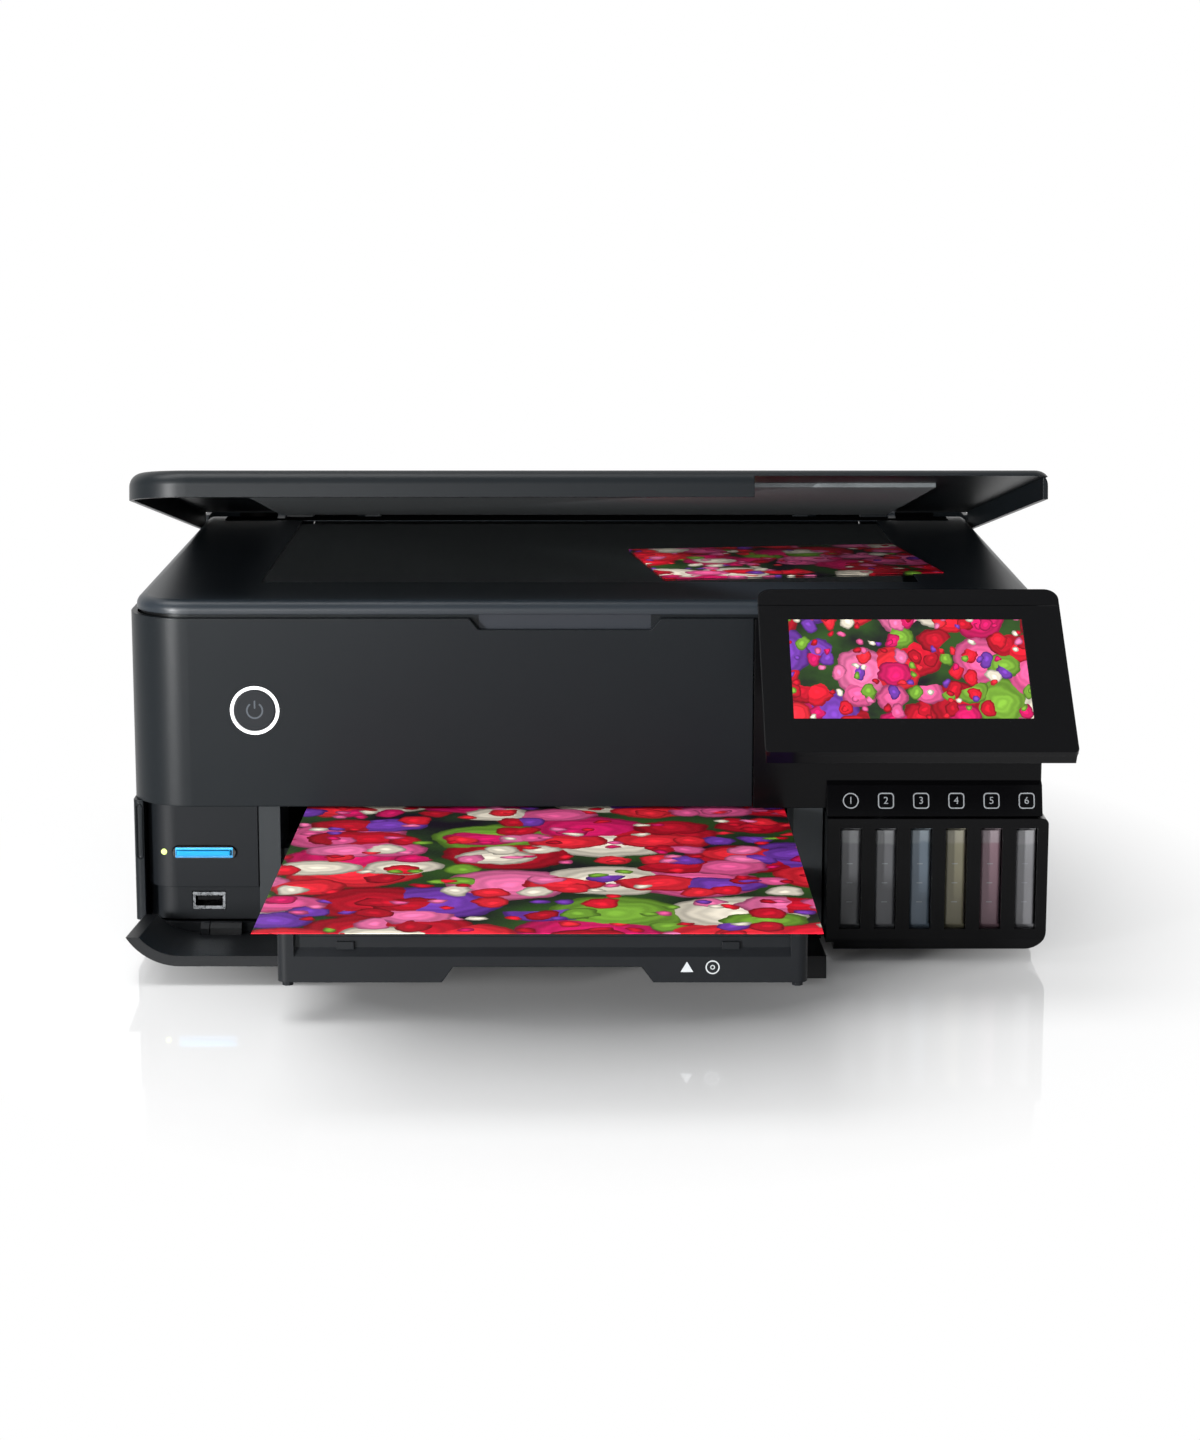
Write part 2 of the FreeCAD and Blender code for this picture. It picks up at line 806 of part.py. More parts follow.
def card_slot_bezel():
    x = left + slot_inset
    y0 = behind(card_setback)
    bezel = slot_pill(0, y0 - 1.2, y0 + card_t)
    room = block(x - sd_w / 2 - sd_play, x + sd_w / 2 + sd_play, y0 - 2, y0 + card_t + 1,
                 slot_z - sd_t / 2 - sd_play, slot_z + sd_t / 2 + sd_play)
    return bezel.cut(room)


def memory_card():
    x = left + slot_inset
    y0 = behind(card_setback) - sd_proud
    return plan([(x - sd_w / 2, y0, 1.0), (x + sd_w / 2, y0, 1.0), (x + sd_w / 2, y0 + sd_len - 4),
                 (x + sd_w / 2 - 4, y0 + sd_len), (x - sd_w / 2, y0 + sd_len, 1.0)],
                slot_z - sd_t / 2, slot_z + sd_t / 2)


def usb_host_socket():
    x = left + usb_inset
    y0 = behind(card_setback + card_step) - usb_proud
    y1 = y0 + usb_len
    body = block(x - usb_w / 2, x + usb_w / 2, y0, y1, usb_z - usb_h / 2, usb_z + usb_h / 2)
    room = block(x - usb_w / 2 + usb_wall, x + usb_w / 2 - usb_wall, y0 - 1, y1 - 2,
                 usb_z - usb_h / 2 + usb_wall + 0.4, usb_z + usb_h / 2 - usb_wall - 0.4)
    tongue = block(x - usb_w / 2 + 2 * usb_wall, x + usb_w / 2 - 2 * usb_wall, y0 + 1, y1 - 1,
                   usb_z + 0.2, usb_z + 1.9)
    return body.cut(room).fuse(tongue).removeSplitter()


def status_led():
    y0 = behind(card_setback)
    return rod_y(left + led_inset, y0 + 0.6, y0 + 2.4 * card_t, slot_z, led_r)


def paper_exit_frame():
    low = case_top_z + gap
    high = opening_top_z - 2 * gap
    y0 = behind(card_setback) + 2 * gap
    y1 = behind(card_setback + frame_len)
    x0 = card_right + gap
    groove_z0 = tray_floor_z - gap
    groove_z1 = tray_floor_z + tray_floor_t + gap
    left_wall = block(x0, guide_right, y0, y1, low, high)
    post = block(post_left, post_right, behind(post_setback), y1, low, high)
    beam_front = y0 + 5
    beam_back = y0 + 17
    beam = block(x0, post_right, beam_front, beam_back, beam_z, beam_z + beam_h)
    ties = [block(x0, guide_right, beam_front, beam_back, high - 1, beam_z + 1),
            block(post_left, post_right, beam_front, beam_back, high - 1, beam_z + 1)]
    runner = block(guide_right - 1, tray_left - gap, y0 + 7, y1, tray_floor_z - 5,
                   tray_floor_z + tray_floor_t + 5)
    frame = left_wall.fuse([post, beam, runner] + ties)
    lane_front = behind(post_setback) - 1
    grooves = [block(tray_left - tongue_w - 2 * gap, tray_left, lane_front, y1 + 1, groove_z0, groove_z1),
               block(tray_right, tray_right + tongue_w + 2 * gap, lane_front, y1 + 1, groove_z0,
                     groove_z1)]
    return frame.cut(grooves).removeSplitter()


def output_tray():
    y0 = behind(-tray_out)
    y1 = behind(tray_inside)
    top = tray_floor_z + tray_floor_t
    floor = block(tray_left, tray_right, y0 + tray_front_t / 2, y1, tray_floor_z, top)
    rim = plan([(tray_left, y0, tray_corner_r), (tray_right, y0, tray_corner_r),
                (tray_right, y0 + tray_return),
                (tray_right - tray_return_t, y0 + tray_return),
                (tray_right - tray_return_t, y0 + tray_front_t),
                (tray_left + tray_return_t, y0 + tray_front_t),
                (tray_left + tray_return_t, y0 + tray_return),
                (tray_left, y0 + tray_return)], tray_low_z, top)
    slope = side_view([(y0 + tray_front_t + 3, tray_low_z - 1), (y0 + tray_return + 1, tray_low_z - 1),
                       (y0 + tray_return + 1, tray_floor_z - 1)], tray_left - 1, tray_right + 1)
    x0 = tray_left + tray_notch_left
    x1 = tray_right - tray_notch_right
    notch = front_view([(x0, tray_low_z - 1), (x0 + tray_notch_slope, tray_low_z + tray_notch_h),
                        (x1 - tray_notch_slope, tray_low_z + tray_notch_h), (x1, tray_low_z - 1)],
                       y0 - 1, y0 + tray_front_t + 1)
    bevel_top = tray_bevel_z + tray_bevel_h
    recess = side_view([(y0 - 1, tray_bevel_z), (y0, tray_bevel_z), (y0 + tray_recess, bevel_top),
                        (y0 + tray_recess, top + 1), (y0 - 1, top + 1)],
                       tray_left + tray_post, tray_right - tray_post)
    tray = floor.fuse(rim.cut([slope, notch, recess]))
    extra = []
    for x in (tray_left + 3.5 * tray_post, tray_right - 5 * tray_post):
        extra.append(block(x, x + tray_post, y0 + tray_recess - 1.4, y0 + tray_recess + 1,
                           bevel_top - 0.6, bevel_top + 2.6))
    for x in (tray_left + tray_corner_r, tray_right - tray_corner_r):
        extra.append(plan(octagon(x, y0 + tray_corner_r, 2.2), tray_low_z - 1.9, tray_low_z + 1))
    ridge_count = 7
    for i in range(ridge_count):
        x = tray_left + tray_w * (i + 1) / (ridge_count + 1)
        extra.append(block(x - 1, x + 1, y0 + 2 * tray_front_t, y1 - 4, top - 1, top + 1.2))
    extra.append(block(tray_left - tongue_w, tray_left + 1, y1 - tongue_len, y1, tray_floor_z, top))
    extra.append(block(tray_right - 1, tray_right + tongue_w, y1 - tongue_len, y1, tray_floor_z, top))
    return tray.fuse(extra).removeSplitter()


def cover_hinges():
    return ((card_right - cover_hinge_left, -1), (post_left - cover_hinge_right, 1))


def front_cover():
    # Modelled closed and upright, then laid open
    top = opening_top_z - 2 * gap
    end_x = post_left + cover_end_w
    axis_y = behind(cover_axis_back)
    r0 = corner_r
    r1 = corner_r - cover_t
    wrap = behind(corner_r)
    strip = plan([(end_x, behind(0)), (left, behind(0), r0 - 0.01), (left, wrap), (left + cover_t, wrap),
                  (left + cover_t, behind(cover_t), r1 - 0.01), (end_x, behind(cover_t))], cover_low_z,
                  top)
    swell = side_view([(behind(cover_t - 1), cover_swell_low), (behind(0), cover_swell_low),
                       (behind(0), cover_swell_start), (behind(-cover_end_proud), cover_swell_full),
                       (behind(-cover_end_proud), top), (behind(cover_t - 1), top)], post_left, end_x)
    cover = strip.fuse(swell)
    stiff = []
    for i in range(cover_rib_count):
        x = guide_right + (post_left - guide_right) * (i + 1) / (cover_rib_count + 1)
        stiff.append(block(x, x + rib_t, behind(cover_t - 1), behind(cover_t + cover_rib_proud),
                           cover_rib_low, top - 4))
    cover = cover.fuse(stiff)
    rooms = [block(left - 1, left + corner_r, behind(cover_wrap), behind(corner_r + 1), 0, top + 1)]
    barrels = []
    for x, side in cover_hinges():
        x0, x1 = ear_range(x, side)
        rooms.append(block(x0 - gap, x1 + gap, behind(1.4), behind(20), 0, cover_axis_z))
        rooms.append(hinge_room(x, side, axis_y, cover_axis_z))
        barrels.append(knuckle(x, side, axis_y, cover_axis_z))
        barrels.append(side_view([(behind(0.8), cover_axis_z - 2), (axis_y, cover_axis_z - 2),
                                  (axis_y, cover_axis_z + 2), (behind(0.8), cover_axis_z + 7)],
                                 x - knuckle_w / 2, x + knuckle_w / 2))
    cover = cover.cut(rooms).fuse(barrels).removeSplitter()
    return turned(cover, axis_y, cover_axis_z, -cover_open)


# Ink tank unit

def tank_x(i):
    return tank_first_x + i * tank_pitch


def tank_bezel():
    y0 = tank_face_y
    y1 = y0 + tank_len
    step = tank_step

    def face(inset):
        return [(tank_left + inset, tank_low_z + step + inset),
                (tank_left + step + inset, tank_low_z + step + inset),
                (tank_left + step + inset, tank_low_z + inset),
                (right - inset, tank_low_z + inset, tank_low_r - inset),
                (right - inset, tank_top_z - inset, tank_high_r - inset / 2),
                (tank_left + inset, tank_top_z - inset)]

    shell = front_view(face(0), y0, y1)
    shell = shell.cut(front_view(face(tank_wall), y0 + tank_wall, y1 + 1))
    bevel_z = tank_low_z + tank_bevel_h
    bevel_y = y0 + tank_bevel_d
    under = side_view([(y0 - 1, bevel_z), (y0, bevel_z), (bevel_y, tank_low_z), (bevel_y, tank_low_z - 1),
                       (y0 - 1, tank_low_z - 1)], tank_left - 1, right + 1)
    windows = []
    for i in range(tank_count):
        x = tank_x(i)
        windows.append(block(x - window_w / 2, x + window_w / 2, y0 - 1, y0 + tank_wall + 1, window_low_z,
                             window_top_z))
    return shell.cut([under] + windows).removeSplitter()


def ink_tank(i):
    # The body lies beside its sight tube, so that the last one clears the base wall
    x = tank_x(i)
    x1 = x + right - case_inset - case_wall - gap - tank_x(tank_count - 1)
    x0 = x1 - tank_body_w
    y_front = tank_face_y + tube_setback
    y_body = y_front + 2.5
    y_back = behind(tank_back)
    low = rib_top_z
    ledge = tank_top_z - tank_wall - 2
    shoulder = behind(tank_shoulder)
    sill_y = tank_rear_y() + case_wall + 1
    sill_z = tank_low_z + tank_step + tank_wall + gap
    body = side_view([(y_body, sill_z), (sill_y, sill_z), (sill_y + 2, low), (y_back, low),
                      (y_back, tank_tall_z),
                      (shoulder, tank_tall_z), (shoulder - 6, ledge), (y_body, ledge)], x0, x1)
    tube = plan([(x - tube_w / 2, y_front, 1.2), (x + tube_w / 2, y_front, 1.2),
                 (x + tube_w / 2, y_body + 1),
                 (x - tube_w / 2, y_body + 1)], tube_low_z, tube_top_z)
    return body.fuse(tube).removeSplitter()


def tank_caps():
    caps = []
    for i in range(tank_count):
        x = tank_x(i) - 1
        y = behind(cap_back)
        cap = plan(octagon(x, y, cap_r), tank_tall_z, tank_tall_z + cap_h)
        lever = block(x - 2.2, x + 2.2, y - cap_r - 9, y, tank_tall_z + cap_h - 2, tank_tall_z + cap_h)
        caps.append(cap.fuse(lever).removeSplitter().Solids[0])
    return Part.makeCompound(caps)


def tank_cover_axis():
    # Film hinge along the lower rear edge
    return behind(tank_back + tank_cover_back), tank_cover_z


def tank_cover():
    axis_y, axis_z = tank_cover_axis()
    x0 = tank_left - gap
    x1 = right - wall - 2 * gap
    y0 = behind(tank_shoulder - tank_cover_lap)
    plate = side_view([(y0, axis_z), (axis_y, axis_z), (axis_y, axis_z + tank_cover_film),
                       (axis_y - 3, axis_z + tank_cover_t),
                       (y0, axis_z + tank_cover_t)], x0, x1)
    g0 = x0 + tank_grip_left
    g1 = g0 + tank_grip_w
    reach = y0 - tank_grip_reach
    grip = plan([(g0, y0 + 1), (g0 + tank_grip_slope, reach), (g1 - tank_grip_slope, reach),
                 (g1, y0 + 1)],
                tank_cover_z, tank_cover_z + tank_cover_t)
    return plate.fuse(grip).removeSplitter()


# Upper black trim with the label strip and the panel hinge

def tank_upper_trim():
    x1 = right - trim_side_inset
    low = tank_top_z + 2 * gap
    front = behind(-trim_setback)
    label_y0 = behind(-label_low_front)
    label_y1 = behind(-label_top_front)
    label_top = low + label_h
    skin = side_view([(label_y0, low), (label_y1, label_top), (front, label_top + 1.5),
                      (front, body_top_z),
                      (front + trim_t, body_top_z), (front + trim_t, label_top - 0.6),
                      (label_y1 + trim_t, label_top - 2.4),
                      (label_y0 + trim_t + 0.6, low)], tank_left, x1)
    beam_low = opening_top_z
    bridge = side_view([(front, beam_low), (front, body_top_z), (front + trim_t, body_top_z),
                        (front + trim_t, beam_low)],
                       panel_left, tank_left + 1)
    side = side_view([(label_y0, low), (label_y1, label_top), (front, label_top + 1.5),
                      (front, body_top_z),
                      (tank_rear_y() - gap, body_top_z), (tank_rear_y() - gap, low)], x1 - trim_t, x1)
    pieces = [bridge, side]
    axis_y = behind(-panel_axis_front)
    arm = [(front - 1.5, body_top_z - 8), (front + trim_t, body_top_z - 8), (front + trim_t, body_top_z),
           (axis_y + 3, panel_axis_z + 1.5), (axis_y, panel_axis_z - 3)]
    for x, side in panel_hinges():
        pieces += [ear(x, side, axis_y, panel_axis_z), ear_arm(x, side, arm)]
    trim = skin.fuse(pieces)
    bores = [ear_bore(x, side, axis_y, panel_axis_z) for x, side in panel_hinges()]
    return trim.cut(bores).removeSplitter()


def panel_hinges():
    return ((panel_left + 26.0, -1), (right - 26.0, 1))


# Control panel, modelled hanging straight down from its hinge and then tilted

def panel_levels():
    axis_y = behind(-panel_axis_front)
    face_y = axis_y - panel_face_out
    top = panel_axis_z - panel_top_drop
    return axis_y, face_y, top, top - panel_len


def tilted(shape):
    return turned(shape, behind(-panel_axis_front), panel_axis_z, panel_tilt)


def panel_fascia():
    face_y, top, low = panel_levels()[1:]
    x0 = panel_left
    seam = top - panel_seam - gap
    face = front_view([(x0, low, 2.0), (right, low, 2.0), (right, seam), (x0, seam)], face_y,
                      face_y + fascia_t)
    sx = x0 + screen_inset
    sz = top - screen_drop
    window = front_view([(sx, sz - screen_h), (sx + screen_w, sz - screen_h), (sx + screen_w, sz),
                         (sx, sz)], face_y - 1, face_y + screen_t)
    return tilted(face.cut(window).removeSplitter())


def touch_screen():
    face_y, top = panel_levels()[1:3]
    sx = panel_left + screen_inset + run
    sz = top - screen_drop - run
    w = screen_w - 2 * run
    h = screen_h - 2 * run
    glass = front_view([(sx, sz - h), (sx + w, sz - h), (sx + w, sz), (sx, sz)],
                       face_y + 0.1, face_y + screen_t)
    return tilted(glass)


def panel_rear_shell():
    axis_y, face_y, top, low = panel_levels()
    x0 = panel_left
    strip = front_view([(x0, top - panel_seam), (right, top - panel_seam), (right, top, panel_corner_r),
                        (x0, top, panel_corner_r)], face_y, face_y + fascia_t + 1)
    b0 = x0 + panel_back_inset
    b1 = right - panel_back_inset
    b_low = low + panel_back_inset
    b_top = top - panel_back_inset
    y0 = face_y + fascia_t
    y1 = face_y + panel_t
    back = front_view([(b0, b_low), (b1, b_low), (b1, b_top, panel_corner_r),
                       (b0, b_top, panel_corner_r)],
                      y0, y1)
    hollow = block(x0 + panel_hollow_wall, right - panel_hollow_wall, y0 + 2, y1 + 1,
                   low + panel_hollow_wall, top - panel_hollow_drop)
    cheek = side_view([(y0, low + panel_cheek_low), (y0, low + panel_cheek_high),
                       (y1, low + panel_cheek_heel),
                       (y1 + panel_cheek_proud, low + panel_cheek_toe)],
                      right - trim_side_inset + 2 * gap, right)
    shell = back.cut(hollow).fuse([strip, cheek])
    bars = []
    for i in range(panel_bar_count):
        z = low + panel_bar_pitch * (i + 1)
        bars.append(block(x0 + 3, right - 3, y0 + 1, y1 - 1, z, z + rib_t))
    shell = shell.fuse(bars)
    rooms = []
    barrels = []
    for x, side in panel_hinges():
        rooms.append(hinge_room(x, side, axis_y, panel_axis_z))
        barrels.append(knuckle(x, side, axis_y, panel_axis_z))
        barrels.append(block(x - knuckle_w / 2, x + knuckle_w / 2, face_y + fascia_t + 1, axis_y,
                             panel_axis_z - panel_top_drop - 6, panel_axis_z - 1))
    shell = shell.cut(rooms).fuse(barrels).removeSplitter()
    return tilted(shell)


# Scanner unit

def bed_outline(inset):
    return [(-bed_half + inset, behind(lid_wall + gap) + inset, corner_r - lid_wall - inset),
            (bed_half - inset, behind(lid_wall + gap) + inset, bed_right_r),
            (bed_half - inset, behind(lid_axis_back) - 0.5),
            (-bed_half + inset, behind(lid_axis_back) - 0.5)]


def glass_rect(grow):
    x0 = glass_x - glass_w / 2 - grow
    x1 = glass_x + glass_w / 2 + grow
    y0 = behind(glass_front) - grow
    y1 = y0 + glass_h + 2 * grow
    return x0, x1, y0, y1


def scanner_frame():
    plate = plan(bed_outline(0), bed_low_z, bed_top_z)
    rear = behind(lid_axis_back) - 2

    def top_edge(edge):
        box = edge.BoundBox
        return box.ZMin > bed_top_z - 1e-6 and box.YMin < rear

    plate = fillet_where(plate, bed_edge_r, top_edge)
    x0, x1, y0, y1 = glass_rect(gap)
    seat = bed_top_z - glass_t - 0.2
    opening = [block(x0, x1, y0, y1, seat, bed_top_z + 1)]
    x0, x1, y0, y1 = glass_rect(-glass_rim)
    opening.append(block(x0, x1, y0, y1, bed_low_z - 1, bed_top_z + 1))
    plate = plate.cut(opening)
    axis_y = behind(lid_axis_back)
    pieces = []
    arm = [(axis_y - 12, bed_low_z + 1), (axis_y - 3, bed_low_z + 1), (axis_y + 3, lid_axis_z - 1),
           (axis_y + 1, lid_axis_z + 2), (axis_y - 12, bed_top_z - 0.5)]
    for x, side in lid_hinges():
        pieces += [ear(x, side, axis_y, lid_axis_z), ear_arm(x, side, arm)]
    plate = plate.fuse(pieces)
    bores = [ear_bore(x, side, axis_y, lid_axis_z) for x, side in lid_hinges()]
    rooms = [block(x - knuckle_w / 2 - gap, x + knuckle_w / 2 + gap, axis_y - knuckle_r - 1.5, axis_y + 6,
                   bed_top_z - 4, bed_top_z + 5) for x, side in lid_hinges()]
    return plate.cut(bores + rooms).removeSplitter()


def lid_hinges():
    return ((-hinge_x, -1), (hinge_x, 1))


def scanner_glass():
    x0, x1, y0, y1 = glass_rect(0)
    return block(x0, x1, y0, y1, bed_top_z - glass_t - 0.2, bed_top_z - 0.2)


def scanner_tray():
    x0, x1 = scan_tray_sides()
    front = behind(scan_tray_inset)
    rear = behind(lid_axis_back) - 3

    def pan(inset):
        r = corner_r - scan_tray_inset - inset
        return [(x0 + inset, front + inset, r), (x1 - inset, front + inset), (x1 - inset, rear - inset),
                (x0 + inset, rear - inset)]

    tray = plan(pan(0), scan_tray_z, bed_low_z)
    tray = tray.cut(plan(pan(scan_tray_wall), scan_tray_z + scan_tray_wall, bed_low_z + 1))
    axis_y = behind(scan_axis_back)
    arms = []
    for x, side in lid_hinges():
        arms.append(knuckle(x, side, axis_y, scan_axis_z))
        arm = [(rear - 1, scan_axis_z - 6), (axis_y, scan_axis_z - 3), (axis_y, scan_axis_z + 2),
               (rear - 1, scan_axis_z + 3)]
        arms.append(side_view(arm, x - knuckle_w / 2, x + knuckle_w / 2))
    rod_y0 = scan_rod_y()
    for x in (x0 + scan_tray_wall - 0.5, x1 - scan_tray_wall - 5.5):
        arms.append(block(x, x + 6, rod_y0 - 7, rod_y0 + 7, scan_tray_z + 1, scan_bar_z - scan_rod_r))
    return tray.fuse(arms).removeSplitter()


def scan_tray_sides():
    return left + scan_tray_inset, right - trim_side_inset - trim_t - 2 * gap


def scan_rod_y():
    return behind(glass_front) + glass_h / 2


def scan_rail():
    x0, x1 = scan_tray_sides()
    return rod_x(x0 + scan_tray_wall, x1 - scan_tray_wall, scan_rod_y(), scan_bar_z, scan_rod_r)


def scan_carriage():
    x0 = glass_x - glass_w / 2 + scan_bar_play
    x1 = x0 + scan_bar_w
    y0 = behind(glass_front) + scan_bar_play
    y1 = y0 + glass_h - 2 * scan_bar_play
    mid = scan_rod_y()
    low = scan_bar_z - scan_rod_r - 2
    belly = low + scan_hub_drop
    reach = scan_hub + scan_hub_slope
    top = bed_low_z - 2
    bar = side_view([(y0, belly), (mid - reach, belly), (mid - scan_hub, low), (mid + scan_hub, low),
                     (mid + reach, belly), (y1, belly), (y1, top), (y0, top)], x0, x1)
    window = block(x0 + scan_window_side, x1 - scan_window_side, y0 + scan_window_end,
                   y1 - scan_window_end,
                   top - 1, bed_low_z)
    bore = rod_x(x0 - 1, x1 + 1, scan_rod_y(), scan_bar_z, scan_rod_r + run)
    return bar.cut([window, bore]).removeSplitter()


def photo_original():
    half_w = photo_w / 2
    half_h = photo_h / 2
    photo = block(-half_w, half_w, -half_h, half_h, bed_top_z, bed_top_z + sheet_t)
    photo.rotate(Vector(0, 0, 0), Vector(0, 0, 1), photo_turn)
    x1 = glass_rect(0)[1]
    photo.translate(Vector(x1 - photo_inset_x, behind(glass_front) + photo_inset_y, 0))
    return photo


# Lid, modelled closed and then opened to its rest angle

def opened(shape):
    return turned(shape, behind(lid_axis_back), lid_axis_z, lid_open)


def lid_shell():
    rear = behind(lid_axis_back + 2)

    def skin(inset, back):
        return [(left + inset, behind(inset), corner_r - inset),
                (right - inset, behind(inset), lid_right_r - inset),
                (right - inset, back), (left + inset, back)]

    lid = plan(skin(0, rear), lid_low_z, lid_top_z)

    def top_edge(edge):
        box = edge.BoundBox
        return box.ZMin > lid_top_z - 1e-6 and box.YMin < rear - 1

    lid = fillet_where(lid, lid_edge_r, top_edge)
    hollow = plan(skin(lid_wall, rear + 1), lid_low_z - 1, lid_inner_z)
    tail = block(left - 1, right + 1, behind(lid_axis_back) - 1, rear + 1, lid_low_z - 1, lid_inner_z)
    notch = block(panel_left - gap, right + 1, behind(-1), behind(lid_notch), lid_low_z - 1, lid_inner_z)
    rooms = []
    for x, side in lid_hinges():
        x0, x1 = ear_range(x, side)
        rooms.append(block(min(x0, x - knuckle_w / 2) - 2 * gap, max(x1, x + knuckle_w / 2) + 2 * gap,
                           behind(lid_axis_back) - 7, rear + 1, lid_low_z - 1, lid_top_z + 1))
    lid = lid.cut([hollow, tail, notch] + rooms)
    axis_y = behind(lid_axis_back)
    pieces = []
    for x, side in lid_hinges():
        pieces.append(knuckle(x, side, axis_y, lid_axis_z))
        pieces.append(side_view([(axis_y - 8, lid_inner_z), (axis_y, lid_axis_z),
                                 (axis_y + 1, lid_axis_z + 2),
                                 (axis_y - 2, lid_top_z), (axis_y - 8, lid_top_z)], x - knuckle_w / 2,
                                 x + knuckle_w / 2))
    return opened(lid.fuse(pieces).removeSplitter())


def document_mat():
    z1 = lid_inner_z
    mat = block(left + mat_side, right - mat_right, behind(mat_front), behind(lid_axis_back - mat_rear),
                z1 - mat_t, z1)
    return opened(mat)


# Paper path

def printed_sheet():
    y0 = behind(-sheet_front)
    sheet = block(tray_mid - sheet_w / 2, tray_mid + sheet_w / 2, y0, y0 + sheet_len, sheet_front_z,
                  sheet_front_z + sheet_t)
    return turned(sheet, y0, sheet_front_z, sheet_rise)


def feed_axis_z_low():
    return sheet_z(feed_back) - gap - feed_r


def exit_axis_z():
    return sheet_z(exit_back) - gap - exit_r


def roller_ends():
    return plate_left - 6.0, plate_right + 3.0


def feed_roller():
    x0, x1 = roller_ends()
    return rod_x(x0, x1, behind(feed_back), feed_axis_z_low(), feed_r)


def exit_roller():
    x0, x1 = roller_ends()
    return rod_x(x0, x1, behind(exit_back), exit_axis_z(), exit_r)


def star_wheel_holder():
    y = behind(exit_back)
    low = sheet_z(exit_back) + sheet_t + star_gap
    bar = block(plate_left + gap, plate_right - gap, y - star_bar_w / 2, y + star_bar_w / 2, low,
                low + star_bar_h)
    wheels = []
    for i in range(roller_count):
        x = tray_left + tray_w * (i + 0.5) / roller_count
        wheels.append(side_view(octagon(y, low + star_rise, star_r), x - star_w / 2, x + star_w / 2))
    return bar.fuse(wheels).removeSplitter()


def platen():
    x0 = tray_left - platen_side
    x1 = plate_right - gap
    y0 = behind(platen_back)
    y1 = y0 + platen_len
    top = platen_z + platen_t
    slab = block(x0, x1, y0, y1, platen_z, top)
    trough = block(x0 + trough_side, x1 - trough_side, y0 + trough_end, y1 - trough_end,
                   platen_z + trough_floor, top + 1)
    ribs = []
    for i in range(platen_rib_count):
        x = x0 + (x1 - x0) * (i + 0.5) / platen_rib_count - platen_rib_t / 2
        ribs.append(block(x, x + platen_rib_t, y0 + 1, y1 - 1, platen_z + 1, top + platen_rib_proud))
    return slab.cut(trough).fuse(ribs).removeSplitter()


def cap_station():
    x0 = plate_left + gap
    x1 = tray_left - platen_side - gap
    y0 = behind(platen_back)
    y1 = y0 + platen_len
    top = carriage_low_z - head_drop - 1.0
    foot = top - seal_h
    t = seal_lip
    body = block(x0, x1, y0, y1, platen_z, foot + 1)
    cap = block(x0 + seal_left, x1 - seal_right, y0 + seal_end, y1 - seal_end, foot, top)
    well = block(x0 + seal_left + t, x1 - seal_right - t, y0 + seal_end + t, y1 - seal_end - t,
                 foot + 1, top + 1)
    wiper = block(x1 - wiper_right - wiper_t, x1 - wiper_right, y0 + wiper_end, y1 - wiper_end, foot,
                  top + wiper_proud)
    return body.fuse([cap, wiper]).cut(well).removeSplitter()


# Carriage and its drive

def carriage_rail():
    y0 = behind(rail_back)
    y1 = y0 + rail_t
    x0 = plate_left - rail_t
    x1 = plate_right + rail_t
    web = block(x0, x1, y0, y1, rail_low_z, rail_top_z)
    flange = block(x0, x1, y1 - rail_flange, y1, rail_top_z - rail_t, rail_top_z)
    front = behind(card_setback + frame_len) + 2 * gap
    pieces = [flange]
    side = [(front, rib_top_z), (y1, rib_top_z), (y1, rail_top_z), (y1 - rail_flange, rail_top_z),
            (front + rail_cheek_flat, rail_cheek_z), (front, rail_cheek_z)]
    pieces.append(side_view(side, x0, plate_left))
    pieces.append(side_view(side, plate_right, x1))
    axle_y = behind(belt_back)
    pieces.append(rod_y(pulley_left, axle_y, y0 + rail_t / 2, belt_z, pin_r))
    rail = web.fuse(pieces)
    cuts = []
    for x in (x0, plate_right):
        cuts.append(rod_x(x - 1, x + rail_t + 1, behind(feed_back), feed_axis_z_low(), feed_r + run))
        cuts.append(rod_x(x - 1, x + rail_t + 1, behind(exit_back), exit_axis_z(), exit_r + run))
    half = shaft_hole / 2
    cuts.append(block(pulley_right - half, pulley_right + half, y0 - 1, y1 + 1, belt_z - half,
                      belt_z + half))
    return rail.cut(cuts).removeSplitter()


def print_carriage():
    x0 = carriage_home - carriage_w / 2
    x1 = carriage_home + carriage_w / 2
    y0 = behind(carriage_front)
    y1 = behind(carriage_back)
    body = side_view([(y0, carriage_low_z), (y1, carriage_low_z), (y1, carriage_top_z),
                      (y0 + carriage_slope, carriage_top_z), (y0, carriage_low_z + carriage_brow)], x0,
                      x1)
    low_run = belt_z - pulley_r - gap
    slider = block(x0 + carriage_slider_inset, x1 - carriage_slider_inset, y1 - 1,
                   behind(rail_back) - gap,
                   carriage_low_z + carriage_slider_low, belt_z - pulley_r - belt_t - 2)
    clip = block(carriage_home - belt_clip_w / 2, carriage_home + belt_clip_w / 2, y1 - 1,
                 behind(belt_back + belt_w), low_run + gap, low_run + belt_clip_t)
    grooves = []
    for i in range(tank_count):
        x = x0 + carriage_w * (i + 0.5) / tank_count - carriage_slot_w / 2
        grooves.append(block(x, x + carriage_slot_w, y0 + carriage_slot_front, y1 - carriage_slot_back,
                             carriage_top_z - carriage_slot_depth, carriage_top_z + 1))
    return body.cut(grooves).fuse([slider, clip]).removeSplitter()


def print_head():
    x0 = carriage_home - carriage_w / 2 + 10
    x1 = carriage_home + carriage_w / 2 - 10
    y0 = behind(platen_back)
    y1 = y0 + platen_len
    low = carriage_low_z - head_drop
    return side_view([(y0, low), (y1, low), (y1 + 4, carriage_low_z), (y0, carriage_low_z)], x0, x1)


